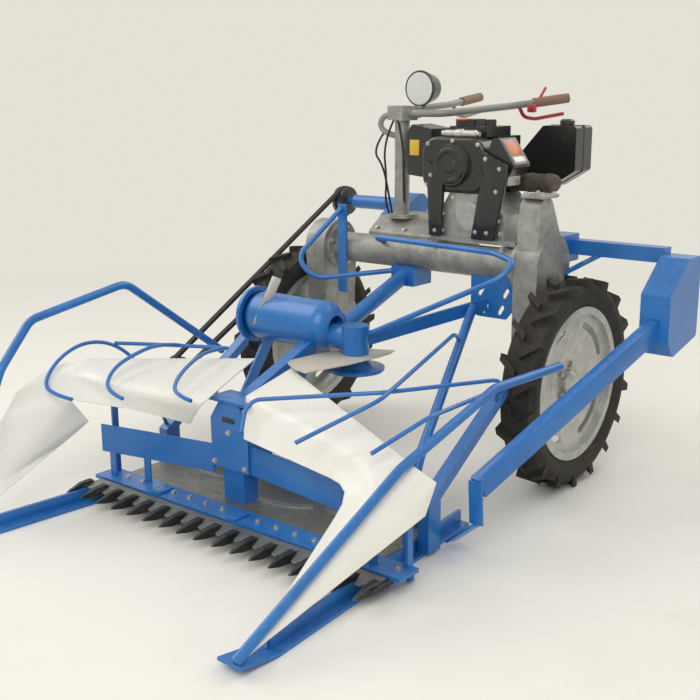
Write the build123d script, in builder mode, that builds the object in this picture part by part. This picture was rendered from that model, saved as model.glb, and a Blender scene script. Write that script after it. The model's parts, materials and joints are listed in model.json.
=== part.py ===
import os
from math import sqrt, tan, radians

from build123d import *

# Walking reaper binder: two driven wheels under an arch, a cutter bar with crop hoods out in front.
# Millimetres. X points to the machine's left, -Y is forward, Z is up from the ground under the axle.

# Wheels
WHEEL_TRACK = 1170.0
TYRE_RADIUS = 359.0
TYRE_WIDTH = 125.0
TREAD_WIDTH = 104.0
LUG_HEIGHT = 22.0
LUG_WIDTH = 24.0
LUG_SWEEP = 46.0
LUG_COUNT = 18
BEAD_RADIUS = 243.0
BEAD_WIDTH = 88.0
RIM_FLANGE_RADIUS = 262.0
RIM_FLANGE_WIDTH = 5.0
RIM_WALL = 6.0
DISC_INSET = 20.0
DISC_DISH = 26.0
DISC_SLOT_RADIUS = 200.0
DISC_SLOT_WIDTH = 24.0
DISC_SLOT_ARC = 48.0
DISC_SLOT_COUNT = 4
HUB_FLANGE_RADIUS = 78.0
HUB_FLANGE_WIDTH = 12.0
HUB_PILOT_RADIUS = 44.0
HUB_DOME_REACH = 34.0
SHAFT_RADIUS = 30.0
SHAFT_GRIP = 62.0
SHAFT_CLEARANCE = 0.1
FIT_GAP = 0.2

# Arch: cross tube and the two drop cases that carry the wheels
ARCH_HEIGHT = 738.0
ARCH_RADIUS = 55.0
ARCH_FLANGE_RADIUS = 84.0
ARCH_FLANGE_WIDTH = 14.0
CASE_OUTER = 500.0
CASE_WIDTH = 90.0
CASE_FOOT_RADIUS = 75.0
CASE_TOP_RADIUS = 100.0
TOWER_TOP = 975.0
TOWER_WIDTH = 78.0
TOWER_RADIUS = 46.0

# Gearbox behind the arch, its hitch and the power take-off housing
GEARBOX_RIGHT = -300.0
GEARBOX_LEFT = 15.0
GEARBOX_FRONT = 40.0
GEARBOX_REAR = 330.0
GEARBOX_BOTTOM = 690.0
GEARBOX_TOP = 850.0
GEARBOX_EDGE = 14.0
HITCH_REACH = 95.0
HITCH_WIDTH = 84.0
HITCH_HEIGHT = 56.0
HITCH_PIN_RADIUS = 12.0

# Engine over the arch
ENGINE_MID_X = 118.0
ENGINE_FRONT = -20.0
BASE_TOP = 816.0
BASE_PLATE = 14.0
BASE_RIGHT = 28.0
BASE_LEFT = 381.0
BASE_REAR = 240.0
CRANKCASE_TOP = 970.0
COWL_WIDTH = 263.0
COWL_HEIGHT = 192.0
COWL_DEPTH = 125.0
COWL_CORNER = 58.0
STARTER_RADIUS = 76.0
STARTER_DEPTH = 16.0
HEAD_HEIGHT = 58.0
TANK_DEPTH = 120.0
TANK_GAP = 60.0
TANK_LUG_WIDTH = 26.0
TANK_LUG_HEIGHT = 54.0

# Belt drive outboard of the right wheel
BELT_PLANE = -700.0
BELT_WIDTH = 20.0
BELT_THICKNESS = 12.0
PULLEY_WIDTH = 46.0
UPPER_PULLEY_Y = 380.0
UPPER_PULLEY_Z = 861.0
UPPER_PULLEY_RADIUS = 58.0
LOWER_PULLEY_Y = -600.0
LOWER_PULLEY_Z = 330.0
LOWER_PULLEY_RADIUS = 38.0
DRIVE_SHAFT_RADIUS = 14.0

# Handlebar, swung a little to the machine's left about its column
COLUMN_X = -195.0
COLUMN_Y = 110.0
COLUMN_RADIUS = 28.0
BAR_HEIGHT = 1238.0
BAR_RADIUS = 13.0
GRIP_RADIUS = 18.0
LAMP_RADIUS = 66.0
LAMP_X = -190.0
LAMP_Y = 215.0
LAMP_HEIGHT = 1326.0
LAMP_DEPTH = 82.0
LAMP_STEM_RADIUS = 9.0

# Cutter bar
FINGER_PITCH = 76.2
FINGER_COUNT = 17
CUTTER_MID_X = 26.5
FINGER_TIP_Y = -1208.0
FINGER_WIDTH = 22.0
FINGER_TIP_WIDTH = 6.0
BAR_FRONT_Y = -1060.0
BAR_REAR_Y = -970.0
BAR_BOTTOM = 45.0
BAR_THICKNESS = 12.0
KNIFE_THICKNESS = 4.0
KNIFE_GAP = 2.0
KNIFE_SEAT = 0.3
KNIFE_BACK_WIDTH = 20.0
BLADE_REACH = 62.0
DECK_REAR_Y = -700.0
DECK_HALF = 545.0
SHEET_WALL = 4.0

# Skids under both ends of the cutter
SKID_REAR_Y = -526.0
SKID_FRONT_Y = -1485.0
SKID_TIP_Y = -1612.0
SKID_SOLE = 10.0
SKID_TIP_RISE = 20.0

LIFT_BAR_X = -349.0

# Largest bend in tubes and rods, at the middle of the bar
BEND_RADIUS = 85.0

# Binder drive drum behind the hoods
DRUM_Y = -450.0
DRUM_Z = 540.0
DRUM_RADIUS = 85.0
DRUM_RIGHT = -430.0
DRUM_LEFT = -100.0

AXLE_HEIGHT = TYRE_RADIUS
CARCASS_RADIUS = TYRE_RADIUS - LUG_HEIGHT
CASE_INNER = CASE_OUTER - CASE_WIDTH
ENGINE_REAR = ENGINE_FRONT + COWL_DEPTH
KNIFE_BOTTOM = BAR_BOTTOM + KNIFE_GAP
DECK_TOP = BAR_BOTTOM + BAR_THICKNESS

pieces = {}


def bend_radii(route, share=0.42):
    # the usual bend, or the largest that the two runs at each corner leave room for
    radii = []
    for start, corner, end in zip(route, route[1:], route[2:]):
        run_in = Vector(corner) - Vector(start)
        run_out = Vector(end) - Vector(corner)
        turn = radians(run_in.get_angle(run_out))
        room = share * min(run_in.length, run_out.length) / tan(turn / 2)
        radii.append(min(room, BEND_RADIUS))
    return radii


def round_bar(route, radius, cut_by=()):
    # a tube or rod along straight runs joined by tangent bends
    with BuildPart() as bar:
        with BuildLine() as path:
            if len(route) > 2:
                FilletPolyline(*route, radius=bend_radii(route))
            else:
                Line(*route)
        with BuildSketch(Plane(path.line @ 0, z_dir=path.line % 0)):
            Circle(radius)
        sweep(path=path.line)
        for neighbour in cut_by:
            add(neighbour.part, mode=Mode.SUBTRACT)
    return bar


def flat_bar(start, end, width, depth, cut_by=(), up=(0, 0, 1)):
    # a straight bar of rectangular section, its depth measured along the up direction
    along = Vector(end) - Vector(start)
    across = Vector(up).cross(along)
    with BuildPart() as bar:
        with BuildSketch(Plane(start, x_dir=across, z_dir=along)):
            Rectangle(width, depth)
        extrude(amount=along.length)
        for neighbour in cut_by:
            add(neighbour.part, mode=Mode.SUBTRACT)
    return bar


def folded_sheet(corners, facets, wall, push):
    # flat facets between named corners, all given the same wall along one direction
    with BuildPart() as sheet:
        for facet in facets:
            outline = Wire.make_polygon([corners[name] for name in facet])
            extrude(Face(outline), amount=wall, dir=push)
    return sheet


# Arch tube between the drop cases
with BuildPart() as arch_tube:
    with BuildSketch(Plane.YZ.offset(-CASE_INNER)):
        with Locations((0, ARCH_HEIGHT)):
            Circle(ARCH_RADIUS)
    extrude(amount=2 * CASE_INNER)
    for face_x, inward in ((-CASE_INNER, 1), (CASE_INNER, -1)):
        with BuildSketch(Plane.YZ.offset(face_x)):
            with Locations((0, ARCH_HEIGHT)):
                Circle(ARCH_FLANGE_RADIUS)
        extrude(amount=inward * ARCH_FLANGE_WIDTH)
pieces["arch_tube"] = arch_tube

# Drop cases: the right one is a plain taper, the left one carries a tower beside the engine
with BuildPart() as case_right:
    with BuildSketch(Plane.YZ.offset(-CASE_OUTER)):
        with BuildLine():
            CenterArc((0, AXLE_HEIGHT), CASE_FOOT_RADIUS, 0, 360)
            CenterArc((0, ARCH_HEIGHT), CASE_TOP_RADIUS, 0, 360)
        make_hull()
    extrude(amount=CASE_WIDTH)
    with BuildSketch(Plane.YZ.offset(-CASE_OUTER)):
        with Locations((0, AXLE_HEIGHT)):
            Circle(SHAFT_RADIUS + SHAFT_CLEARANCE)
    extrude(amount=SHAFT_GRIP + SHAFT_CLEARANCE, mode=Mode.SUBTRACT)
pieces["case_right"] = case_right

with BuildPart() as case_left:
    with BuildSketch(Plane.YZ.offset(CASE_INNER)):
        with BuildLine():
            CenterArc((0, AXLE_HEIGHT), CASE_FOOT_RADIUS, 0, 360)
            CenterArc((36, ARCH_HEIGHT), CASE_TOP_RADIUS + 12, 0, 360)
        make_hull()
    extrude(amount=CASE_WIDTH)
    with BuildSketch(Plane.YZ.offset(CASE_INNER)):
        with BuildLine():
            CenterArc((36, ARCH_HEIGHT), CASE_TOP_RADIUS, 0, 360)
            CenterArc((0, TOWER_TOP - TOWER_RADIUS), TOWER_RADIUS, 0, 360)
        make_hull()
    extrude(amount=TOWER_WIDTH)
    with BuildSketch(Plane.YZ.offset(CASE_OUTER)):
        with Locations((0, AXLE_HEIGHT)):
            Circle(SHAFT_RADIUS + SHAFT_CLEARANCE)
    extrude(amount=-SHAFT_GRIP - SHAFT_CLEARANCE, mode=Mode.SUBTRACT)
pieces["case_left"] = case_left

# Wheels: lugged tyre, rim with a slotted dished disc, hub with its shaft in the drop case
for side, tag in ((1, "left"), (-1, "right")):
    centre = Vector(side * WHEEL_TRACK / 2, 0, AXLE_HEIGHT)
    axle = Axis(centre, (1, 0, 0))
    section_plane = Plane(centre, x_dir=(side, 0, 0), z_dir=(0, -side, 0))
    tread_plane = Plane(centre, x_dir=(side, 0, 0), z_dir=(0, 0, 1))
    lug_half = LUG_SWEEP / 2 + LUG_WIDTH / 2
    lug_top = sqrt(TYRE_RADIUS**2 - lug_half**2)
    lug_root = CARCASS_RADIUS - LUG_HEIGHT

    with BuildPart() as lug:
        with BuildSketch(tread_plane.offset(lug_root)):
            with BuildLine():
                Polyline(
                    (2, -lug_half),
                    (2, -lug_half + LUG_WIDTH),
                    (TYRE_WIDTH / 2, lug_half),
                    (TYRE_WIDTH / 2, lug_half - LUG_WIDTH),
                    close=True,
                )
            make_face()
        extrude(amount=lug_top - lug_root)

    with BuildPart() as mirrored_lug:
        add(lug.part)
        mirror(about=Plane(centre, z_dir=(1, 0, 0)), mode=Mode.REPLACE)

    with BuildPart() as tyre:
        with BuildSketch(section_plane):
            with BuildLine():
                Polyline(
                    (-BEAD_WIDTH / 2, BEAD_RADIUS),
                    (-BEAD_WIDTH / 2, RIM_FLANGE_RADIUS + FIT_GAP),
                    (-TYRE_WIDTH / 2, (RIM_FLANGE_RADIUS + CARCASS_RADIUS) / 2),
                    (-TYRE_WIDTH / 2, CARCASS_RADIUS - LUG_HEIGHT),
                    (-TREAD_WIDTH / 2, CARCASS_RADIUS),
                    (TREAD_WIDTH / 2, CARCASS_RADIUS),
                    (TYRE_WIDTH / 2, CARCASS_RADIUS - LUG_HEIGHT),
                    (TYRE_WIDTH / 2, (RIM_FLANGE_RADIUS + CARCASS_RADIUS) / 2),
                    (BEAD_WIDTH / 2, RIM_FLANGE_RADIUS + FIT_GAP),
                    (BEAD_WIDTH / 2, BEAD_RADIUS),
                    close=True,
                )
            make_face()
        revolve(axis=axle)
        step = 360 / LUG_COUNT
        add([lug.part.rotate(axle, turn * step) for turn in range(LUG_COUNT)])
        add([mirrored_lug.part.rotate(axle, (turn + 0.5) * step) for turn in range(LUG_COUNT)])
    pieces[f"tyre_{tag}"] = tyre

    rim_face = BEAD_WIDTH / 2 + RIM_FLANGE_WIDTH
    disc_rim_x = rim_face - DISC_INSET
    disc_hub_x = disc_rim_x - DISC_DISH
    with BuildPart() as rim:
        with BuildSketch(section_plane):
            with BuildLine():
                Polyline(
                    (-rim_face, RIM_FLANGE_RADIUS),
                    (-rim_face + RIM_FLANGE_WIDTH - FIT_GAP, RIM_FLANGE_RADIUS),
                    (-BEAD_WIDTH / 2 - FIT_GAP, BEAD_RADIUS - FIT_GAP),
                    (BEAD_WIDTH / 2 + FIT_GAP, BEAD_RADIUS - FIT_GAP),
                    (rim_face - RIM_FLANGE_WIDTH + FIT_GAP, RIM_FLANGE_RADIUS),
                    (rim_face, RIM_FLANGE_RADIUS),
                    (rim_face, BEAD_RADIUS - RIM_WALL),
                    (disc_rim_x, BEAD_RADIUS - RIM_WALL),
                    (disc_hub_x, HUB_FLANGE_RADIUS + DISC_DISH),
                    (disc_hub_x, HUB_PILOT_RADIUS + FIT_GAP),
                    (disc_hub_x - RIM_WALL, HUB_PILOT_RADIUS + FIT_GAP),
                    (disc_hub_x - RIM_WALL, HUB_FLANGE_RADIUS + DISC_DISH),
                    (disc_rim_x - RIM_WALL, BEAD_RADIUS - RIM_WALL),
                    (-rim_face, BEAD_RADIUS - RIM_WALL),
                    close=True,
                )
            make_face()
        revolve(axis=axle)
        with BuildSketch(Plane(centre, x_dir=(0, side, 0), z_dir=(side, 0, 0)).offset(rim_face)):
            for turn in range(DISC_SLOT_COUNT):
                slot_start = turn * 360 / DISC_SLOT_COUNT - DISC_SLOT_ARC / 2 + 45
                slot_arc = Edge.make_circle(
                    DISC_SLOT_RADIUS, start_angle=slot_start, end_angle=slot_start + DISC_SLOT_ARC
                )
                SlotArc(slot_arc, DISC_SLOT_WIDTH)
        extrude(amount=-2 * rim_face, mode=Mode.SUBTRACT)
    pieces[f"rim_{tag}"] = rim

    flange_x = disc_hub_x - RIM_WALL - HUB_FLANGE_WIDTH
    shaft_end_x = CASE_OUTER - WHEEL_TRACK / 2 - SHAFT_GRIP
    with BuildPart() as hub:
        with BuildSketch(section_plane):
            with BuildLine():
                Polyline(
                    (shaft_end_x, 0),
                    (shaft_end_x, SHAFT_RADIUS),
                    (flange_x, SHAFT_RADIUS),
                    (flange_x, HUB_FLANGE_RADIUS),
                    (disc_hub_x - RIM_WALL, HUB_FLANGE_RADIUS),
                    (disc_hub_x - RIM_WALL, HUB_PILOT_RADIUS),
                    (disc_hub_x + HUB_DOME_REACH / 2, HUB_PILOT_RADIUS),
                    (disc_hub_x + HUB_DOME_REACH, HUB_PILOT_RADIUS / 2),
                    (disc_hub_x + HUB_DOME_REACH, 0),
                    close=True,
                )
            make_face()
        revolve(axis=axle)
    pieces[f"hub_{tag}"] = hub

# Gearbox casting, saddled on the back of the arch tube
with BuildPart() as gearbox:
    with BuildSketch(Plane.YZ.offset(GEARBOX_RIGHT)):
        with BuildLine():
            Polyline(
                (GEARBOX_FRONT, GEARBOX_BOTTOM + 12),
                (GEARBOX_FRONT, GEARBOX_TOP - 50),
                (GEARBOX_FRONT + 70, GEARBOX_TOP),
                (GEARBOX_REAR, GEARBOX_TOP),
                (GEARBOX_REAR, GEARBOX_BOTTOM + 34),
                (GEARBOX_REAR - 50, GEARBOX_BOTTOM),
                (GEARBOX_FRONT + 50, GEARBOX_BOTTOM),
                close=True,
            )
        make_face()
    extrude(amount=GEARBOX_LEFT - GEARBOX_RIGHT)
    fillet(gearbox.edges().filter_by(Axis.X), GEARBOX_EDGE)
    add(arch_tube.part, mode=Mode.SUBTRACT)
pieces["gearbox"] = gearbox

gearbox_mid_x = (GEARBOX_RIGHT + GEARBOX_LEFT) / 2
hitch_bottom = GEARBOX_BOTTOM + 40
with BuildPart() as hitch:
    with BuildSketch(Plane.XY.offset(hitch_bottom)):
        with Locations((gearbox_mid_x, GEARBOX_REAR + HITCH_REACH / 2)):
            Rectangle(HITCH_WIDTH, HITCH_REACH)
        with Locations((gearbox_mid_x, GEARBOX_REAR + HITCH_REACH - 2 * HITCH_PIN_RADIUS)):
            Circle(HITCH_PIN_RADIUS, mode=Mode.SUBTRACT)
    extrude(amount=HITCH_HEIGHT)
    fillet(hitch.edges().filter_by(Axis.Z).group_by(Axis.Y)[-1], HITCH_PIN_RADIUS)
pieces["hitch"] = hitch

# Take-off housing on the gearbox's right side, with the pulley shaft
with BuildPart() as takeoff:
    with BuildSketch(Plane.YZ.offset(GEARBOX_RIGHT)):
        with BuildLine():
            CenterArc((UPPER_PULLEY_Y, UPPER_PULLEY_Z), 52, 0, 360)
            CenterArc((GEARBOX_REAR - 70, GEARBOX_TOP - 62), 58, 0, 360)
        make_hull()
    extrude(amount=-90)
    with BuildSketch(Plane.YZ.offset(GEARBOX_RIGHT - 90)):
        with Locations((UPPER_PULLEY_Y, UPPER_PULLEY_Z)):
            Circle(2 * DRIVE_SHAFT_RADIUS)
    extrude(amount=BELT_PLANE + 60 - GEARBOX_RIGHT + 90)
    with BuildSketch(Plane.YZ.offset(GEARBOX_RIGHT - 90)):
        with Locations((UPPER_PULLEY_Y, UPPER_PULLEY_Z)):
            Circle(DRIVE_SHAFT_RADIUS)
    extrude(amount=BELT_PLANE - PULLEY_WIDTH / 2 - GEARBOX_RIGHT + 90)
pieces["takeoff"] = takeoff

# Belt pulleys and the belt round them
groove = BELT_THICKNESS * 0.75
for tag, spin_y, spin_z, radius in (
    ("upper_pulley", UPPER_PULLEY_Y, UPPER_PULLEY_Z, UPPER_PULLEY_RADIUS),
    ("lower_pulley", LOWER_PULLEY_Y, LOWER_PULLEY_Z, LOWER_PULLEY_RADIUS),
):
    spin = Axis((BELT_PLANE, spin_y, spin_z), (1, 0, 0))
    with BuildPart() as pulley:
        with BuildSketch(Plane((BELT_PLANE, spin_y, spin_z), x_dir=(1, 0, 0), z_dir=(0, -1, 0))):
            with BuildLine():
                Polyline(
                    (-PULLEY_WIDTH / 2, DRIVE_SHAFT_RADIUS + FIT_GAP),
                    (-PULLEY_WIDTH / 2, radius),
                    (-BELT_WIDTH / 2 - FIT_GAP, radius),
                    (-BELT_WIDTH / 2 - FIT_GAP, radius - groove),
                    (BELT_WIDTH / 2 + FIT_GAP, radius - groove),
                    (BELT_WIDTH / 2 + FIT_GAP, radius),
                    (PULLEY_WIDTH / 2, radius),
                    (PULLEY_WIDTH / 2, DRIVE_SHAFT_RADIUS + FIT_GAP),
                    close=True,
                )
            make_face()
        revolve(axis=spin)
    pieces[tag] = pulley

with BuildPart() as drive_belt:
    with BuildSketch(Plane.YZ.offset(BELT_PLANE - BELT_WIDTH / 2)):
        for grow, mode in ((BELT_THICKNESS, Mode.ADD), (0, Mode.SUBTRACT)):
            with BuildSketch(mode=mode):
                with BuildLine():
                    CenterArc(
                        (UPPER_PULLEY_Y, UPPER_PULLEY_Z),
                        UPPER_PULLEY_RADIUS - groove + FIT_GAP + grow, 0, 360,
                    )
                    CenterArc(
                        (LOWER_PULLEY_Y, LOWER_PULLEY_Z),
                        LOWER_PULLEY_RADIUS - groove + FIT_GAP + grow, 0, 360,
                    )
                make_hull()
    extrude(amount=BELT_WIDTH)
pieces["drive_belt"] = drive_belt

# Engine: base, crankcase, cylinder, cowl with its starter cover, head, air box, muffler
with BuildPart() as engine_base:
    with BuildSketch(Plane.XY.offset(BASE_TOP)):
        with Locations(((BASE_RIGHT + BASE_LEFT) / 2, (ENGINE_FRONT + BASE_REAR) / 2)):
            Rectangle(BASE_LEFT - BASE_RIGHT, BASE_REAR - ENGINE_FRONT)
    extrude(amount=-BASE_PLATE)
    for rib_x in (BASE_RIGHT + 40, BASE_LEFT - 40):
        with BuildSketch(Plane.YZ.offset(rib_x)):
            with Locations((0, ARCH_HEIGHT + ARCH_RADIUS / 2)):
                Rectangle(ARCH_RADIUS * 1.6, BASE_TOP - BASE_PLATE - ARCH_HEIGHT - ARCH_RADIUS / 2,
                          align=(Align.CENTER, Align.MIN))
        extrude(amount=6, both=True)
    add(arch_tube.part, mode=Mode.SUBTRACT)
    add(case_left.part, mode=Mode.SUBTRACT)
pieces["engine_base"] = engine_base

with BuildPart() as crankcase:
    with BuildSketch(Plane.XZ.offset(-ENGINE_FRONT - 20)):
        with BuildLine():
            Polyline(
                (BASE_RIGHT + 32, BASE_TOP),
                (BASE_RIGHT + 32, CRANKCASE_TOP - 60),
                (BASE_RIGHT + 70, CRANKCASE_TOP),
                (BASE_LEFT - 130, CRANKCASE_TOP),
                (BASE_LEFT - 60, CRANKCASE_TOP - 70),
                (BASE_LEFT - 60, BASE_TOP),
                close=True,
            )
        make_face()
    extrude(amount=-(BASE_REAR - ENGINE_FRONT - 50))
    with BuildSketch(Plane.XZ.offset(-ENGINE_FRONT - 20)):
        with Locations((ENGINE_MID_X + 70, (BASE_TOP + CRANKCASE_TOP) / 2)):
            Circle(50)
    extrude(amount=16)
pieces["crankcase"] = crankcase

cowl_mid_z = CRANKCASE_TOP + COWL_HEIGHT / 2
cowl_top = CRANKCASE_TOP + COWL_HEIGHT
with BuildPart() as engine_cowl:
    with BuildSketch(Plane.XZ.offset(-ENGINE_FRONT)):
        with Locations((ENGINE_MID_X, cowl_mid_z)):
            RectangleRounded(COWL_WIDTH, COWL_HEIGHT, COWL_CORNER)
    extrude(amount=-COWL_DEPTH)
    fillet(engine_cowl.faces().sort_by(Axis.Y)[0].edges(), GEARBOX_EDGE)
    with BuildSketch(Plane.XZ.offset(-ENGINE_FRONT)):
        with Locations((ENGINE_MID_X, cowl_mid_z)):
            Circle(STARTER_RADIUS)
    extrude(amount=STARTER_DEPTH, taper=30)
pieces["engine_cowl"] = engine_cowl

cylinder_right = ENGINE_MID_X - 98
cylinder_left = ENGINE_MID_X + 112
cylinder_rear = BASE_REAR + 20
with BuildPart() as cylinder:
    with BuildSketch(Plane.XY.offset(CRANKCASE_TOP)):
        with Locations(((cylinder_right + cylinder_left) / 2, (ENGINE_REAR + cylinder_rear) / 2)):
            Rectangle(cylinder_left - cylinder_right, cylinder_rear - ENGINE_REAR)
    extrude(amount=COWL_HEIGHT)
    fillet(cylinder.edges().filter_by(Axis.Z).group_by(Axis.Y)[-1], GEARBOX_EDGE)
    with BuildSketch(Plane.XZ.offset(-cylinder_rear)):
        with Locations((cylinder_left - 3 * GEARBOX_EDGE, CRANKCASE_TOP + TANK_LUG_HEIGHT)):
            Rectangle(TANK_LUG_WIDTH, TANK_LUG_HEIGHT)
    extrude(amount=-TANK_GAP)
pieces["cylinder"] = cylinder

with BuildPart() as engine_head:
    with BuildSketch(Plane.XY.offset(cowl_top)):
        with Locations((ENGINE_MID_X + 20, ENGINE_REAR + 20)):
            RectangleRounded(COWL_WIDTH - 90, 150, GEARBOX_EDGE)
    extrude(amount=HEAD_HEIGHT * 0.6)
    with BuildSketch(Plane.XY.offset(cowl_top + HEAD_HEIGHT * 0.6)):
        with Locations((ENGINE_MID_X - 20, ENGINE_REAR + 20)):
            RectangleRounded(80, 90, GEARBOX_EDGE)
        with Locations((ENGINE_MID_X + 70, ENGINE_REAR + 10)):
            Circle(20)
    extrude(amount=HEAD_HEIGHT * 0.4)
pieces["engine_head"] = engine_head

cowl_right = ENGINE_MID_X - COWL_WIDTH / 2
cowl_left = ENGINE_MID_X + COWL_WIDTH / 2
with BuildPart() as side_cowl:
    with BuildSketch(Plane.XZ.offset(-ENGINE_FRONT - 60)):
        with BuildLine():
            Polyline(
                (cowl_right, cowl_mid_z - 30),
                (cowl_right, cowl_top + 24),
                (cowl_right - 86, cowl_top + 38),
                (cowl_right - 110, cowl_top + 10),
                (cowl_right - 104, cowl_mid_z - 46),
                (cowl_right - 40, cowl_mid_z - 52),
                close=True,
            )
        make_face()
    extrude(amount=-120)
    fillet(side_cowl.edges().filter_by(Axis.Y).group_by(Axis.X)[0], GEARBOX_EDGE)
pieces["side_cowl"] = side_cowl

with BuildPart() as air_box:
    with BuildSketch(Plane.XZ.offset(-ENGINE_FRONT - 10)):
        with BuildLine():
            Polyline(
                (cowl_left, cowl_mid_z - 30),
                (cowl_left, cowl_mid_z + 34),
                (cowl_left + 26, cowl_top),
                (cowl_left + 52, cowl_top),
                (cowl_left + 116, cowl_mid_z + 4),
                (cowl_left + 92, cowl_mid_z - 30),
                close=True,
            )
        make_face()
    extrude(amount=-(COWL_DEPTH - 20))
    fillet(air_box.edges().filter_by(Axis.Y).group_by(Axis.X)[-1], GEARBOX_EDGE)
pieces["air_box"] = air_box

MUFFLER_LENGTH = 196.0
with BuildPart() as muffler:
    with BuildSketch(Plane.YZ.offset(cylinder_left)):
        with Locations((ENGINE_REAR + 62, CRANKCASE_TOP + 34)):
            Ellipse(48, 32)
    extrude(amount=MUFFLER_LENGTH)
    fillet(muffler.faces().sort_by(Axis.X)[-1].edges(), GEARBOX_EDGE)
pieces["muffler"] = muffler

# Fuel tank behind the engine, on a bracket from the cylinder
tank_right = cylinder_left - 4 * GEARBOX_EDGE
tank_front = cylinder_rear + TANK_GAP
with BuildPart() as fuel_tank:
    with BuildSketch(Plane.XZ.offset(-tank_front)):
        with BuildLine():
            Polyline(
                (tank_right, CRANKCASE_TOP + 6),
                (tank_right, CRANKCASE_TOP + 106),
                (tank_right + 106, cowl_top + 32),
                (tank_right + 240, cowl_top + 32),
                (tank_right + 240, CRANKCASE_TOP + 66),
                (tank_right + 140, CRANKCASE_TOP + 6),
                close=True,
            )
        make_face()
    extrude(amount=-TANK_DEPTH)
    fillet(fuel_tank.edges().filter_by(Axis.Y), GEARBOX_EDGE)
pieces["fuel_tank"] = fuel_tank

# Handlebar column, bar, grips, levers and lamp. Bar points: sideways and back from the column, height.
BAR_SIDE = Vector(0.947, -0.321, 0)
BAR_BACK = Vector(0.321, 0.947, 0)
BAR_BENDS = ((0, 0), (86, 4), (170, 64), (193, 362), (263, 568))
BAR_RISE = (0, 0, 0, 22, 48)


def bar_point(sideways, back, rise):
    return Vector(COLUMN_X, COLUMN_Y, BAR_HEIGHT + rise) + BAR_SIDE * sideways + BAR_BACK * back


left_arm = [bar_point(side, back, rise) for (side, back), rise in zip(BAR_BENDS, BAR_RISE)]
right_arm = [bar_point(-side, back, rise) for (side, back), rise in zip(BAR_BENDS, BAR_RISE)]
handlebar = round_bar(right_arm[:0:-1] + left_arm[1:], BAR_RADIUS)
pieces["handlebar"] = handlebar

with BuildPart() as lamp_shell:
    with BuildSketch(Plane.XZ.offset(-LAMP_Y)):
        with Locations((LAMP_X, LAMP_HEIGHT)):
            Circle(LAMP_RADIUS)
    extrude(amount=-LAMP_DEPTH, taper=14)
    fillet(lamp_shell.faces().sort_by(Axis.Y)[-1].edges(), 2 * GEARBOX_EDGE)
pieces["lamp_shell"] = lamp_shell

with BuildPart() as lamp_lens:
    with BuildSketch(Plane.XZ.offset(-LAMP_Y)):
        with Locations((LAMP_X, LAMP_HEIGHT)):
            Circle(LAMP_RADIUS - 4)
    extrude(amount=8, taper=20)
pieces["lamp_lens"] = lamp_lens

lamp_stem = round_bar(
    (
        (COLUMN_X, COLUMN_Y + LAMP_STEM_RADIUS, BAR_HEIGHT - BAR_RADIUS),
        (COLUMN_X, LAMP_Y + LAMP_DEPTH / 3, BAR_HEIGHT - BAR_RADIUS),
        (LAMP_X, LAMP_Y + LAMP_DEPTH / 3, LAMP_HEIGHT - LAMP_RADIUS / 2),
    ),
    LAMP_STEM_RADIUS,
)

with BuildPart() as column:
    with BuildSketch(Plane.XY.offset(GEARBOX_TOP)):
        with Locations((COLUMN_X, COLUMN_Y + 10)):
            Circle(2 * COLUMN_RADIUS)
    extrude(amount=GEARBOX_EDGE)
    with BuildSketch(Plane.XY.offset(GEARBOX_TOP)):
        with Locations((COLUMN_X, COLUMN_Y)):
            Circle(COLUMN_RADIUS)
    extrude(amount=BAR_HEIGHT - 2 * BAR_RADIUS - GEARBOX_TOP)
    with BuildSketch(Plane(
        (COLUMN_X, COLUMN_Y, BAR_HEIGHT - 2 * BAR_RADIUS), x_dir=BAR_SIDE, z_dir=(0, 0, 1)
    )):
        Rectangle(96, 70)
    extrude(amount=4 * BAR_RADIUS)
    add(lamp_stem.part)
    for neighbour in (gearbox, handlebar, lamp_shell):
        add(neighbour.part, mode=Mode.SUBTRACT)
pieces["column"] = column

with BuildPart() as grips:
    for arm in (left_arm, right_arm):
        along = arm[-1] - arm[-2]
        with BuildSketch(Plane(arm[-1] - along * 0.6, z_dir=along)):
            Circle(GRIP_RADIUS)
        extrude(amount=along.length * 0.6 + 8)
    add(handlebar.part, mode=Mode.SUBTRACT)
pieces["grips"] = grips

for tag, arm in (("left", left_arm), ("right", right_arm)):
    along = (arm[-1] - arm[-2]).normalized()
    inward = (right_arm[-1] - left_arm[-1]).normalized() * (1 if tag == "left" else -1)
    pivot = arm[-2] + along * 30 - Vector(0, 0, BAR_RADIUS)
    lever = round_bar(
        (
            pivot + Vector(0, 0, 6),
            pivot + along * 20 - Vector(0, 0, 34),
            pivot + along * 70 + inward * 10 - Vector(0, 0, 48),
            pivot + along * 190 + inward * 14 - Vector(0, 0, 44),
        ),
        7.0,
        cut_by=(handlebar, grips),
    )
    pieces[f"lever_{tag}"] = lever

# Side beam on the left, the drop box at its end and the push tube down to the cutter
BEAM_Y = 200.0
BEAM_HEIGHT = 790.0
BEAM_DEPTH = 50.0
BEAM_END = 830.0
BOX_WIDTH = 100.0
case_back_y = 36 + CASE_TOP_RADIUS + 12
beam_bar = flat_bar(
    (CASE_INNER + 20, BEAM_Y, BEAM_HEIGHT), (BEAM_END, BEAM_Y, BEAM_HEIGHT), BEAM_DEPTH, BEAM_DEPTH
)
brace_bar = flat_bar(
    (CASE_OUTER + 100, BEAM_Y, BEAM_HEIGHT - 15), (CASE_INNER + 60, 110, BEAM_HEIGHT - 100), 30, 12
)
with BuildPart() as side_beam:
    with BuildSketch(Plane.YZ.offset(CASE_INNER + 10)):
        with Locations(((case_back_y + BEAM_Y) / 2 - 30, BEAM_HEIGHT - 4)):
            Rectangle(BEAM_Y - case_back_y + 120, BEAM_DEPTH + 44)
    extrude(amount=70)
    add(beam_bar.part)
    add(brace_bar.part)
    for neighbour in (case_left, engine_base):
        add(neighbour.part, mode=Mode.SUBTRACT)
pieces["side_beam"] = side_beam

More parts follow.
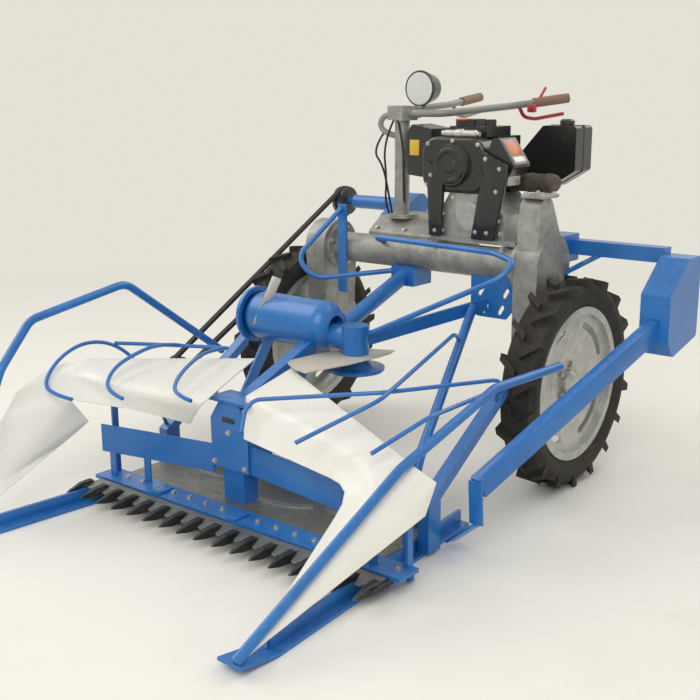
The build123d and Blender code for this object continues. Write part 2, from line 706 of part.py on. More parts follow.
with BuildPart() as drop_box:
    with BuildSketch(Plane.YZ.offset(BEAM_END)):
        with BuildLine():
            Polyline(
                (BEAM_Y - 190, BEAM_HEIGHT - 100),
                (BEAM_Y - 60, BEAM_HEIGHT + 4),
                (BEAM_Y + 36, BEAM_HEIGHT + 4),
                (BEAM_Y + 36, BEAM_HEIGHT - 264),
                (BEAM_Y - 150, BEAM_HEIGHT - 304),
                (BEAM_Y - 190, BEAM_HEIGHT - 250),
                close=True,
            )
        make_face()
    extrude(amount=BOX_WIDTH)
    fillet(drop_box.edges().filter_by(Axis.X), GEARBOX_EDGE)
pieces["drop_box"] = drop_box

PUSH_TOP = (880.0, BEAM_Y - 182, BEAM_HEIGHT - 208)
PUSH_END = (700.0, -722.0, 222.0)
push_bar = flat_bar(PUSH_TOP, PUSH_END, 42, 66, cut_by=(drop_box,))

# Skids with their upright webs; plan corners as outer X at the rear and front
SKID_OUTER_REAR = 545.0
SKID_OUTER_FRONT = 632.0
SKID_WIDTH = 82.0
CHANNEL_X = 566.0
CHANNEL_WIDTH = 40.0
for side, tag in ((1, "left"), (-1, "right")):
    with BuildPart() as skid:
        with BuildSketch(Plane.XY):
            with BuildLine():
                Polyline(
                    (side * (SKID_OUTER_REAR - SKID_WIDTH), SKID_REAR_Y),
                    (side * SKID_OUTER_REAR, SKID_REAR_Y),
                    (side * SKID_OUTER_FRONT, SKID_FRONT_Y),
                    (side * (SKID_OUTER_FRONT - SKID_WIDTH), SKID_FRONT_Y),
                    close=True,
                )
            make_face()
        extrude(amount=SKID_SOLE)
        nose_x = side * (SKID_OUTER_FRONT - SKID_WIDTH)
        with BuildSketch(Plane.YZ.offset(nose_x)):
            with BuildLine():
                Polyline(
                    (SKID_FRONT_Y, 0),
                    (SKID_FRONT_Y, SKID_SOLE),
                    (SKID_TIP_Y, SKID_SOLE + SKID_TIP_RISE),
                    (SKID_TIP_Y, SKID_TIP_RISE),
                    close=True,
                )
            make_face()
        extrude(amount=side * SKID_WIDTH)
        web_rear = SKID_OUTER_REAR - SKID_WIDTH / 2
        web_front = SKID_OUTER_FRONT - SKID_WIDTH / 2
        with BuildSketch(Plane.XY.offset(SKID_SOLE)):
            with BuildLine():
                Polyline(
                    (side * web_rear, SKID_REAR_Y),
                    (side * (web_rear + 12), SKID_REAR_Y),
                    (side * (web_front + 12), SKID_FRONT_Y),
                    (side * web_front, SKID_FRONT_Y),
                    close=True,
                )
            make_face()
        extrude(amount=BAR_BOTTOM - SKID_SOLE)
        with BuildSketch(Plane.YZ.offset(side * CHANNEL_X - CHANNEL_WIDTH / 2)):
            with BuildLine():
                Polyline(
                    (-800, SKID_SOLE), (-740, SKID_SOLE), (-740, 165), (-380, 396), (-380, 432), (-800, 165),
                    close=True,
                )
            make_face()
        extrude(amount=CHANNEL_WIDTH)
        if tag == "right":
            with BuildSketch(Plane.YZ.offset(-CHANNEL_X - 50)):
                with BuildLine():
                    CenterArc((LOWER_PULLEY_Y, LOWER_PULLEY_Z), 44, 0, 360)
                    CenterArc((LOWER_PULLEY_Y + 10, LOWER_PULLEY_Z - 60), 40, 0, 360)
                make_hull()
            extrude(amount=80)
            with BuildSketch(Plane.YZ.offset(-CHANNEL_X - 50)):
                with Locations((LOWER_PULLEY_Y, LOWER_PULLEY_Z)):
                    Circle(DRIVE_SHAFT_RADIUS)
            extrude(amount=BELT_PLANE - PULLEY_WIDTH / 2 + CHANNEL_X + 50)
    pieces[f"skid_{tag}"] = skid

# Push tube down from the drop box, its foot against the left channel
with BuildPart() as push_tube:
    with BuildSketch(Plane.YZ.offset(CHANNEL_X + CHANNEL_WIDTH / 2)):
        with Locations((PUSH_END[1], (BAR_BOTTOM + PUSH_END[2]) / 2)):
            Rectangle(100, PUSH_END[2] - BAR_BOTTOM)
    extrude(amount=PUSH_END[0] - CHANNEL_X)
    add(push_bar.part)
pieces["push_tube"] = push_tube

# Crop hoods: corners as outward X, Y and Z; the limb's inner end differs left and right
HOOD_PUSH = (-0.35, 0.5, -0.8)
POST_WIDTH = 24.0
POST_TOP = 420.0
cutter_half = (FINGER_COUNT - 1) * FINGER_PITCH / 2
hood_posts = []
HOOD_FACETS = (
    ("tip", "ridge", "bulge"),
    ("tip", "bulge", "flank"),
    ("tip", "elbow", "crease_out"),
    ("tip", "crease_out", "ridge"),
    ("ridge", "crease_out", "crease_in"),
    ("ridge", "crease_in", "back_in"),
    ("crease_out", "elbow", "front_in"),
    ("crease_out", "front_in", "crease_in"),
)
for side, tag, inner_x in ((1, "left", -20.0), (-1, "right", 160.0)):
    corners = {
        "tip": (612, -1585, 32),
        "ridge": (648, -960, 343),
        "bulge": (702, -930, 300),
        "flank": (705, -985, 222),
        "elbow": (500, -1040, 268),
        "crease_out": (585, -1010, 320),
        "back_in": (inner_x - 20, -695, 450),
        "crease_in": (inner_x, -925, 412),
        "front_in": (inner_x + 50, -990, 300),
    }
    corners = {name: (side * x, y, z) for name, (x, y, z) in corners.items()}
    push = (side * HOOD_PUSH[0], HOOD_PUSH[1], HOOD_PUSH[2])
    hood = folded_sheet(corners, HOOD_FACETS, SHEET_WALL, push)
    pieces[f"hood_{tag}"] = hood
    over_hood = folded_sheet(corners, HOOD_FACETS, POST_TOP, (0, 0, 1))

    # post from the finger bar's end up to the underside of the hood
    post_x = CUTTER_MID_X + side * (cutter_half + FINGER_PITCH / 2 - POST_WIDTH)
    with BuildPart() as hood_post:
        with BuildSketch(Plane.XY.offset(DECK_TOP)):
            with Locations((post_x, BAR_REAR_Y - POST_WIDTH / 2)):
                Rectangle(POST_WIDTH / 3, POST_WIDTH)
        extrude(amount=POST_TOP - DECK_TOP)
        for neighbour in (hood, over_hood):
            add(neighbour.part, mode=Mode.SUBTRACT)
    hood_posts.append(hood_post)

# Finger bar with the hood posts, fingers, knife and deck
finger_mid_z = BAR_BOTTOM - 2
with BuildPart() as finger_bar:
    with BuildSketch(Plane.XY.offset(BAR_BOTTOM)):
        with Locations((CUTTER_MID_X, (BAR_FRONT_Y + BAR_REAR_Y) / 2)):
            Rectangle(2 * cutter_half + FINGER_PITCH, BAR_REAR_Y - BAR_FRONT_Y)
    extrude(amount=BAR_THICKNESS)
    for hood_post in hood_posts:
        add(hood_post.part)
pieces["finger_bar"] = finger_bar

slot_bottom = KNIFE_BOTTOM - KNIFE_SEAT
slot_top = KNIFE_BOTTOM + KNIFE_THICKNESS + KNIFE_GAP
knife_back_y = BAR_FRONT_Y - KNIFE_GAP - 1
blade_tip_y = knife_back_y - KNIFE_BACK_WIDTH - BLADE_REACH
with BuildPart() as finger:
    with BuildSketch(Plane.YZ):
        with BuildLine():
            Polyline(
                (BAR_REAR_Y - 20, BAR_BOTTOM),
                (BAR_REAR_Y - 20, BAR_BOTTOM - 9),
                (BAR_FRONT_Y - 30, BAR_BOTTOM - 16),
                (FINGER_TIP_Y + 40, BAR_BOTTOM - 12),
                (FINGER_TIP_Y, finger_mid_z),
                (FINGER_TIP_Y + 10, finger_mid_z + 6),
                (blade_tip_y - 4, slot_top + 9),
                (blade_tip_y + 40, slot_top + 9),
                (blade_tip_y + 40, slot_top),
                (blade_tip_y - 4, slot_top),
                (blade_tip_y - 4, slot_bottom),
                (BAR_FRONT_Y, slot_bottom),
                (BAR_FRONT_Y, BAR_BOTTOM),
                close=True,
            )
        make_face()
    extrude(amount=FINGER_WIDTH / 2, both=True)
    with BuildSketch(Plane.XY):
        with BuildLine():
            Polyline(
                (-FINGER_WIDTH / 2, BAR_REAR_Y),
                (FINGER_WIDTH / 2, BAR_REAR_Y),
                (FINGER_WIDTH / 2, blade_tip_y + 30),
                (FINGER_TIP_WIDTH / 2, FINGER_TIP_Y),
                (-FINGER_TIP_WIDTH / 2, FINGER_TIP_Y),
                (-FINGER_WIDTH / 2, blade_tip_y + 30),
                close=True,
            )
        make_face()
    extrude(amount=2 * BAR_BOTTOM, mode=Mode.INTERSECT)

with BuildPart() as fingers:
    with Locations([(CUTTER_MID_X - cutter_half + n * FINGER_PITCH, 0) for n in range(FINGER_COUNT)]):
        add(finger.part)
    for tag in ("left", "right"):
        add(pieces[f"skid_{tag}"].part, mode=Mode.SUBTRACT)
pieces["fingers"] = fingers

with BuildPart() as knife:
    with BuildSketch(Plane.XY.offset(KNIFE_BOTTOM)):
        with Locations((CUTTER_MID_X, knife_back_y - KNIFE_BACK_WIDTH / 2)):
            Rectangle(2 * cutter_half, KNIFE_BACK_WIDTH)
        for n in range(FINGER_COUNT - 1):
            blade_x = CUTTER_MID_X - cutter_half + (n + 0.5) * FINGER_PITCH
            with BuildLine():
                Polyline(
                    (blade_x - FINGER_PITCH / 2 + 1, knife_back_y - KNIFE_BACK_WIDTH),
                    (blade_x + FINGER_PITCH / 2 - 1, knife_back_y - KNIFE_BACK_WIDTH),
                    (blade_x + FINGER_PITCH / 9, blade_tip_y),
                    (blade_x - FINGER_PITCH / 9, blade_tip_y),
                    close=True,
                )
            make_face()
    extrude(amount=KNIFE_THICKNESS)
pieces["knife"] = knife

with BuildPart() as deck:
    with BuildSketch(Plane.XY.offset(DECK_TOP)):
        with Locations((0, (BAR_REAR_Y + DECK_REAR_Y) / 2)):
            Rectangle(2 * DECK_HALF, DECK_REAR_Y - BAR_REAR_Y)
    extrude(amount=-(DECK_TOP - BAR_BOTTOM))
    for tag in ("left", "right"):
        add(pieces[f"skid_{tag}"].part, mode=Mode.SUBTRACT)
pieces["deck"] = deck

REAR_BEAM_SIZE = 42.0
rear_beam_y = DECK_REAR_Y - REAR_BEAM_SIZE / 2
# Binder head at the throat and the drive drum behind it
HEAD_RIGHT = -150.0
HEAD_LEFT = 12.0
HEAD_FRONT = -955.0
HEAD_REAR = -865.0
HEAD_BOTTOM = 168.0
HEAD_TOP = 388.0
HUB_POST_X = 30.0
HUB_POST_RADIUS = 46.0
LEAF_HEIGHT = 461.0
with BuildPart() as binder_drum:
    with BuildSketch(Plane.YZ.offset(DRUM_RIGHT)):
        with Locations((DRUM_Y, DRUM_Z)):
            Circle(DRUM_RADIUS)
    extrude(amount=DRUM_LEFT - DRUM_RIGHT)
    fillet(binder_drum.faces().sort_by(Axis.X)[0].edges(), 3 * GEARBOX_EDGE)
    with BuildSketch(Plane.YZ.offset(DRUM_LEFT)):
        with Locations((DRUM_Y, DRUM_Z - 30)):
            Circle(42)
    extrude(amount=HUB_POST_X - DRUM_LEFT)
    with BuildSketch(Plane.XY.offset(LEAF_HEIGHT)):
        with Locations((HUB_POST_X, DRUM_Y)):
            Circle(HUB_POST_RADIUS)
    extrude(amount=DRUM_Z + 20 - LEAF_HEIGHT)
pieces["binder_drum"] = binder_drum

with BuildPart() as leaf_plate:
    with BuildSketch(Plane.XY.offset(LEAF_HEIGHT)):
        with BuildLine():
            Polyline((-85, -650), (30, -380), (105, -330), (118, -420), (60, -740), close=True)
        make_face()
    extrude(amount=-SHEET_WALL)
pieces["leaf_plate"] = leaf_plate

with BuildPart() as header_frame:
    with BuildSketch(Plane.XY.offset(DECK_TOP)):
        with Locations((0, rear_beam_y)):
            Rectangle(2 * DECK_HALF, REAR_BEAM_SIZE)
    extrude(amount=REAR_BEAM_SIZE)
    for post_x in (DRUM_RIGHT + 60, DRUM_LEFT - 60):
        with BuildSketch(Plane.YZ.offset(post_x)):
            with BuildLine():
                Polyline(
                    (rear_beam_y - 20, DECK_TOP + REAR_BEAM_SIZE),
                    (rear_beam_y + 20, DECK_TOP + REAR_BEAM_SIZE),
                    (DRUM_Y + 20, DRUM_Z - DRUM_RADIUS),
                    (DRUM_Y + 20, DRUM_Z),
                    (DRUM_Y - 40, DRUM_Z),
                    (DRUM_Y - 40, DRUM_Z - DRUM_RADIUS),
                    close=True,
                )
            make_face()
        extrude(amount=10)
    add(binder_drum.part, mode=Mode.SUBTRACT)
pieces["header_frame"] = header_frame

binder_arm = flat_bar(
    (DRUM_LEFT - 24, HEAD_REAR, HEAD_TOP - 40), (DRUM_LEFT - 24, DRUM_Y, DRUM_Z - 30), 44, 26
)
with BuildPart() as binder_head:
    with BuildSketch(Plane.XZ.offset(-HEAD_FRONT)):
        with BuildLine():
            Polyline(
                (HEAD_RIGHT, HEAD_BOTTOM),
                (HEAD_RIGHT, HEAD_TOP - 60),
                (HEAD_RIGHT + 40, HEAD_TOP),
                (HEAD_LEFT - 40, HEAD_TOP),
                (HEAD_LEFT, HEAD_TOP - 60),
                (HEAD_LEFT, HEAD_BOTTOM),
                close=True,
            )
        make_face()
    extrude(amount=-(HEAD_REAR - HEAD_FRONT))
    with BuildSketch(Plane.XY.offset(HEAD_BOTTOM)):
        with Locations(((HEAD_RIGHT + HEAD_LEFT) / 2, (HEAD_FRONT + HEAD_REAR) / 2)):
            Rectangle(90, 60)
    extrude(amount=DECK_TOP - HEAD_BOTTOM)
    add(binder_arm.part)
    add(binder_drum.part, mode=Mode.SUBTRACT)
pieces["binder_head"] = binder_head

NECK_X = -60.0
NECK_RADIUS = 28.0
neck_tube = round_bar(
    ((NECK_X, -40, ARCH_HEIGHT - ARCH_RADIUS - 15), (NECK_X - 20, DRUM_Y, DRUM_Z - 36)), NECK_RADIUS
)
with BuildPart() as neck:
    with BuildSketch(Plane.YZ.offset(NECK_X - 50)):
        with Locations((-12, ARCH_HEIGHT - ARCH_RADIUS - 20)):
            Rectangle(112, 70)
    extrude(amount=100)
    add(neck_tube.part)
    for neighbour in (arch_tube, gearbox, binder_drum):
        add(neighbour.part, mode=Mode.SUBTRACT)
pieces["neck"] = neck

# Frame bars between the arch and the cutter
SLOTTED_FRONT = 35.0
with BuildPart() as slotted_plate:
    with BuildSketch(Plane.XZ.offset(SLOTTED_FRONT)):
        with BuildLine():
            Polyline((217, 560), (217, 720), (400, 720), (400, 600), (360, 550), (250, 550), close=True)
        make_face()
        for slot_x, slot_z in ((258, 640), (358, 640), (276, 580), (340, 580)):
            with Locations((slot_x, slot_z)):
                SlotCenterToCenter(24, 16, rotation=60, mode=Mode.SUBTRACT)
    extrude(amount=-10)
    add(arch_tube.part, mode=Mode.SUBTRACT)
pieces["slotted_plate"] = slotted_plate

diagonal_bar = flat_bar((HUB_POST_X, DRUM_Y, DRUM_Z - 40), (300, 0, 602), 14, 44)
strut_bar = round_bar(
    ((262, -88, 592), (440, -640, 245), (450, rear_beam_y, DECK_TOP + REAR_BEAM_SIZE - 10)), 16
)
with BuildPart() as frame_bars:
    add(diagonal_bar.part)
    add(strut_bar.part)
    split(bisect_by=Plane.XZ.offset(SLOTTED_FRONT), keep=Keep.TOP)
    for neighbour in (binder_drum, header_frame):
        add(neighbour.part, mode=Mode.SUBTRACT)
pieces["frame_bars"] = frame_bars

# Front panels below the hoods, bent in plan, with legs to the finger bar
PANEL_OUTER = 600.0
for side, tag, inner_x, bottom, top in (
    (1, "left", HEAD_LEFT, 168.0, 262.0),
    (-1, "right", -HEAD_RIGHT, 140.0, 236.0),
):
    with BuildPart() as panel:
        with BuildSketch(Plane.XY.offset(bottom)):
            with BuildLine():
                Polyline(
                    (side * inner_x, HEAD_FRONT + 8),
                    (side * inner_x, HEAD_FRONT + 8 + SHEET_WALL),
                    (side * 420, -1000 + SHEET_WALL),
                    (side * PANEL_OUTER, -1040 + SHEET_WALL),
                    (side * PANEL_OUTER, -1040),
                    (side * 420, -1000),
                    close=True,
                )
            make_face()
        extrude(amount=top - bottom)
        for leg_x in (420, PANEL_OUTER - 40):
            with BuildSketch(Plane.XY.offset(DECK_TOP)):
                with Locations((side * leg_x, -996 if leg_x == 420 else -1026)):
                    Rectangle(30, 6)
            extrude(amount=bottom + 20 - DECK_TOP)
    pieces[f"panel_{tag}"] = panel

# Divider tubes over the hoods
DIVIDER_RADIUS = 14.0
DIVIDER_LEFT = ((612, -1612, 37), (640, -1012, 347), (660, -577, 478), (700, -263, 486))
DIVIDER_RIGHT = (
    (-612, -1608, 30), (-620, -1389, 494), (-660, -1242, 621), (-660, -855, 684), (-660, -410, 360)
)
divider_left = round_bar(DIVIDER_LEFT, DIVIDER_RADIUS, cut_by=(pieces["hood_left"], pieces["skid_left"]))
pieces["divider_left"] = divider_left
divider_right = round_bar(DIVIDER_RIGHT, DIVIDER_RADIUS, cut_by=(pieces["hood_right"], pieces["skid_right"]))
pieces["divider_right"] = divider_right

# Lift bar clamped to the front of the arch tube
with BuildPart() as lift_bar:
    with BuildSketch(Plane.XZ.offset(ARCH_RADIUS)):
        with Locations((LIFT_BAR_X, ARCH_HEIGHT)):
            Rectangle(40, 333)
    extrude(amount=8)
pieces["lift_bar"] = lift_bar

# Guard rods over the front of the arch
GUARD_RADIUS = 9.5
GUARD_ROUTES = (
    ((-170, -20, 770), (-150, -120, 806), (380, -160, 800), (490, -200, 785), (465, -250, 735), (40, -440, 515)),
    ((LIFT_BAR_X, -66, 890), (-420, -240, 720), (-330, -250, 650), (-90, -40, 680)),
)
with BuildPart() as guard_rods:
    for route in GUARD_ROUTES:
        add(round_bar(route, GUARD_RADIUS, cut_by=(arch_tube, lift_bar, neck, binder_drum)).part)
pieces["guard_rods"] = guard_rods

# Crop guide rods over the hoods
GUIDE_RADIUS = 6.5
GUIDES_LEFT = (
    ((575, -400, 405), (590, -436, 462), (421, -794, 472), (83, -1022, 440), (109, -1076, 360)),
    ((308, -232, 500), (330, -300, 545), (475, -886, 480), (339, -1095, 380)),
    ((572, -430, 390), (612, -470, 446), (625, -860, 452), (551, -1024, 375)),
)
GUIDES_RIGHT = (
    ((-566, -770, 150), (-600, -850, 400), (-640, -948, 474), (-690, -1120, 378), (-606, -1100, 326)),
    ((-660, -962, 470), (-420, -800, 470), (-318, -727, 458)),
    ((-547, -886, 470), (-520, -960, 464), (-458, -1060, 401), (-411, -1058, 348)),
    ((-350, -750, 462), (-310, -860, 478), (-231, -995, 441), (-144, -990, 390)),
)
with BuildPart() as guides_left:
    for route in GUIDES_LEFT:
        add(round_bar(route, GUIDE_RADIUS, cut_by=(pieces["skid_left"], frame_bars, pieces["hood_left"])).part)
pieces["guides_left"] = guides_left
with BuildPart() as guides_right:
    for route in GUIDES_RIGHT:
        add(round_bar(route, GUIDE_RADIUS).part)
    for neighbour in (pieces["skid_right"], pieces["hood_right"]):
        add(neighbour.part, mode=Mode.SUBTRACT)
pieces["guides_right"] = guides_right

# Stand the whole machine with the middle of its footprint at the origin
boxes = [piece.part.bounding_box() for piece in pieces.values()]
middle_x = (min(box.min.X for box in boxes) + max(box.max.X for box in boxes)) / 2
middle_y = (min(box.min.Y for box in boxes) + max(box.max.Y for box in boxes)) / 2
ground_z = min(box.min.Z for box in boxes)
print("footprint middle", round(middle_x, 3), round(middle_y, 3), round(ground_z, 3))

os.makedirs("parts", exist_ok=True)
for label, piece in pieces.items():
    piece.part.location = Location((-middle_x, -middle_y, -ground_z))
    piece.part.label = label
    export_step(piece.part, f"parts/{label}.step")
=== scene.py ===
import bpy
import json
import math
from mathutils import Matrix, Vector


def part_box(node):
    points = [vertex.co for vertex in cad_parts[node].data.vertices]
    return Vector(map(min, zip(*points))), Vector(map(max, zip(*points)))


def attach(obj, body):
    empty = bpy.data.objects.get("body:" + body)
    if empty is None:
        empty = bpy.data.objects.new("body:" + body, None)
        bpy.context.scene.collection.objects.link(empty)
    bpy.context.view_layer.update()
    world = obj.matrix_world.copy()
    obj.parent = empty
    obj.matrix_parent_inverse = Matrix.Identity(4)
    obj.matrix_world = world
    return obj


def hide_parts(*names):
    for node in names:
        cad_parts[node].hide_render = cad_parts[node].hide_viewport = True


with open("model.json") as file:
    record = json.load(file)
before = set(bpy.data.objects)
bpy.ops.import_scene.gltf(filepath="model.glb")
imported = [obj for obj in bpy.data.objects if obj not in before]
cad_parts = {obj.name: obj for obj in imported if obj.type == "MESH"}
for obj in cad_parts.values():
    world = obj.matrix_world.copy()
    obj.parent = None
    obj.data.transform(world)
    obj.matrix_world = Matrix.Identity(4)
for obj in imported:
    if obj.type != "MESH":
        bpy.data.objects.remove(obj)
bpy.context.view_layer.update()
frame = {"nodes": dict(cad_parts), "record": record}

nodes = frame["nodes"]
print("frame loaded:", len(nodes), "CAD nodes")

# the ground point under the middle of the axle; places below are millimetres from it,
# X to the machine's left, Y to its rear, Z up
tyreLow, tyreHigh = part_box("tyre_left")
otherLow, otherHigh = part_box("tyre_right")
axleX = (tyreLow.x + tyreHigh.x + otherLow.x + otherHigh.x) / 4
axleY = (tyreLow.y + tyreHigh.y) / 2
axleZ = (tyreLow.z + tyreHigh.z) / 2


def at(x, y, z):
    return Vector((axleX + x / 1000, axleY + y / 1000, z / 1000))


# camera, floor and light

shot = {
    "eye": (2265, -3187, 1344),
    "yaw": -0.690,
    "pitch": 0.245,
    "roll": 0.007,
    "focalPixels": 1079,
    "imageSize": 700,
    "centreRow": 353.7,
    "sensor": 36,
    "clipEnd": 200,
}


def addCamera():
    yaw, pitch, roll = shot["yaw"], shot["pitch"], shot["roll"]
    ahead = Vector((math.sin(yaw) * math.cos(pitch), math.cos(yaw) * math.cos(pitch), -math.sin(pitch)))
    right = Vector((math.cos(yaw), -math.sin(yaw), 0))
    down = ahead.cross(right)
    across = math.cos(roll) * right + math.sin(roll) * down
    above = math.sin(roll) * right - math.cos(roll) * down
    turn = Matrix((across, above, -ahead)).transposed()
    bpy.ops.object.camera_add(location=at(*shot["eye"]), rotation=turn.to_euler())
    camera = bpy.context.object
    camera.data.sensor_width = shot["sensor"]
    camera.data.lens = shot["focalPixels"] / shot["imageSize"] * shot["sensor"]
    camera.data.shift_y = (shot["centreRow"] - shot["imageSize"] / 2) / shot["imageSize"]
    camera.data.clip_end = shot["clipEnd"]
    bpy.context.scene.camera = camera


class Wire:
    # a shader socket that can be used in plain arithmetic, and the way to add any other node
    def __init__(self, tree, socket=None):
        self.tree = tree
        self.socket = socket

    def node(self, kind, settings=None, values=None, out=0):
        made = self.tree.nodes.new("ShaderNode" + kind)
        for key, value in (settings or {}).items():
            setattr(made, key, value)
        for key, value in (values or {}).items():
            self.feed(made.inputs[key], value)
        return Wire(self.tree, made.outputs[out])

    def feed(self, socket, value):
        if isinstance(value, Wire):
            self.tree.links.new(value.socket, socket)
        elif isinstance(value, tuple) and len(value) == 3 and socket.type == "RGBA":
            socket.default_value = (*value, 1)
        else:
            socket.default_value = value

    def sum(self, operation, first, second, clamp=False):
        return self.node("Math", {"operation": operation, "use_clamp": clamp}, {0: first, 1: second})

    def __add__(self, other):
        return self.sum("ADD", self, other)

    def __radd__(self, other):
        return self.sum("ADD", other, self)

    def __sub__(self, other):
        return self.sum("SUBTRACT", self, other)

    def __rsub__(self, other):
        return self.sum("SUBTRACT", other, self)

    def __mul__(self, other):
        return self.sum("MULTIPLY", self, other)

    def __rmul__(self, other):
        return self.sum("MULTIPLY", other, self)

    def clip(self):
        return self.sum("ADD", self, 0.0, True)

    def spread(self, low, high, toLow=0.0, toHigh=1.0):
        return self.node("MapRange", {"clamp": True},
                         {"Value": self, "From Min": low, "From Max": high, "To Min": toLow, "To Max": toHigh})

    def blend(self, first, second):
        return self.node("Mix", {"data_type": "RGBA"}, {"Factor": self, 6: first, 7: second}, 2)


def newFinish(name):
    material = bpy.data.materials.new(name)
    material.use_nodes = True
    shader = material.node_tree.nodes["Principled BSDF"]
    return material, shader, Wire(material.node_tree)


def setShader(wire, shader, **values):
    for key, value in values.items():
        wire.feed(shader.inputs[key.replace("_", " ")], value)


# shared patterns: places on the piece, grain, worn edges and settled dust

def placeOn(wire):
    return wire.node("TexCoord", out="Object")


def grain(wire, scale, detail=3.0, rough=0.55):
    return wire.node("TexNoise", {}, {"Vector": placeOn(wire), "Scale": scale, "Detail": detail, "Roughness": rough})


def wornEdges(wire, radius, low=0.02, high=0.16):
    # one where a rounded-over edge would turn away from the flat face
    bevel = wire.node("Bevel", {"samples": 4}, {"Radius": radius})
    face = wire.node("NewGeometry", out="Normal")
    facing = wire.node("VectorMath", {"operation": "DOT_PRODUCT"}, {0: bevel, 1: face}, "Value")
    return (1 - facing).spread(low, high)


def upward(wire):
    face = wire.node("NewGeometry", out="Normal")
    return wire.node("SeparateXYZ", {}, {"Vector": face}, "Z").spread(0.35, 0.95)


def lift(wire, height, strength, distance):
    return wire.node("Bump", {}, {"Height": height, "Strength": strength, "Distance": distance})


def paintFinish(name, colour, dark, chip, dust, rough=0.32, dustAmount=0.25):
    # sprayed paint over steel: slow colour drift, orange peel, dust on top, chipped edges
    material, shader, wire = newFinish(name)
    drift = grain(wire, 5.0, 4.0).spread(0.35, 0.68)
    peel = grain(wire, 320.0, 2.0)
    patches = grain(wire, 46.0, 5.0, 0.65)
    body = drift.blend(dark, colour)
    settled = upward(wire) * patches.spread(0.42, 0.72) * dustAmount
    body = settled.blend(body, dust)
    chipped = wornEdges(wire, 0.003) * patches.spread(0.53, 0.6)
    body = (chipped * 0.7).blend(body, chip)
    setShader(wire, shader, Base_Color=body, Metallic=0.0, Coat_Weight=0.35, Coat_Roughness=0.12,
              Roughness=rough + settled * 0.6 + chipped * 0.25 + patches * 0.08,
              Normal=lift(wire, peel, 0.08, 0.0006))
    return material


def castFinish(name, colour, dark, edge, rough=0.5, metallic=0.45, bump=0.35):
    # sand-cast metal under aluminium paint: pebbled skin, grime in patches, rubbed edges
    material, shader, wire = newFinish(name)
    skin = grain(wire, 260.0, 4.0, 0.6)
    blotch = grain(wire, 14.0, 5.0, 0.6)
    grime = grain(wire, 38.0, 6.0, 0.7).spread(0.5, 0.74)
    body = blotch.spread(0.34, 0.66).blend(dark, colour)
    body = (grime * 0.45).blend(body, tuple(value * 0.45 for value in dark))
    rubbed = wornEdges(wire, 0.004) * blotch.spread(0.4, 0.56)
    body = (rubbed * 0.6).blend(body, edge)
    setShader(wire, shader, Base_Color=body, Metallic=metallic,
              Roughness=rough + grime * 0.2 - rubbed * 0.12,
              Normal=lift(wire, skin * 0.6 + blotch * 0.4, bump, 0.0012))
    return material


def bareSteel(name, colour, stain, rough):
    # bare or plated steel: fine grain, smears and a little rust staining
    material, shader, wire = newFinish(name)
    fine = grain(wire, 180.0, 3.0, 0.6)
    smear = grain(wire, 9.0, 5.0, 0.65)
    stained = grain(wire, 30.0, 6.0, 0.7).spread(0.55, 0.72)
    body = smear.spread(0.35, 0.65).blend(tuple(value * 0.72 for value in colour), colour)
    body = (stained * 0.7).blend(body, stain)
    setShader(wire, shader, Base_Color=body, Metallic=0.85,
              Roughness=rough + fine * 0.14 + stained * 0.3,
              Normal=lift(wire, fine, 0.12, 0.0005))
    return material


def rubberFinish(name, colour, dust, rough=0.72, dustAmount=0.5):
    # moulded rubber, dusty in patches and scuffed grey along the edges
    material, shader, wire = newFinish(name)
    fine = grain(wire, 420.0, 3.0)
    patches = grain(wire, 26.0, 6.0, 0.68)
    scuffed = wornEdges(wire, 0.006, 0.03, 0.3)
    body = (patches.spread(0.42, 0.7) * dustAmount).blend(colour, dust)
    body = (scuffed * patches.spread(0.35, 0.6) * 0.55).blend(body, tuple(value * 1.6 for value in dust))
    setShader(wire, shader, Base_Color=body, Roughness=rough + patches * 0.15,
              Normal=lift(wire, fine, 0.25, 0.0008))
    return material


def lensFinish(name):
    # fluted headlamp glass over a bright reflector
    material, shader, wire = newFinish(name)
    flutes = wire.node("TexWave", {"wave_type": "BANDS", "bands_direction": "X"},
                       {"Vector": placeOn(wire), "Scale": 60.0, "Distortion": 0.0})
    setShader(wire, shader, Base_Color=flutes.blend((0.62, 0.64, 0.66), (0.93, 0.94, 0.95)), Metallic=0.55,
              Roughness=0.12, Coat_Weight=1.0, Coat_Roughness=0.03, Normal=lift(wire, flutes, 0.4, 0.002))
    return material


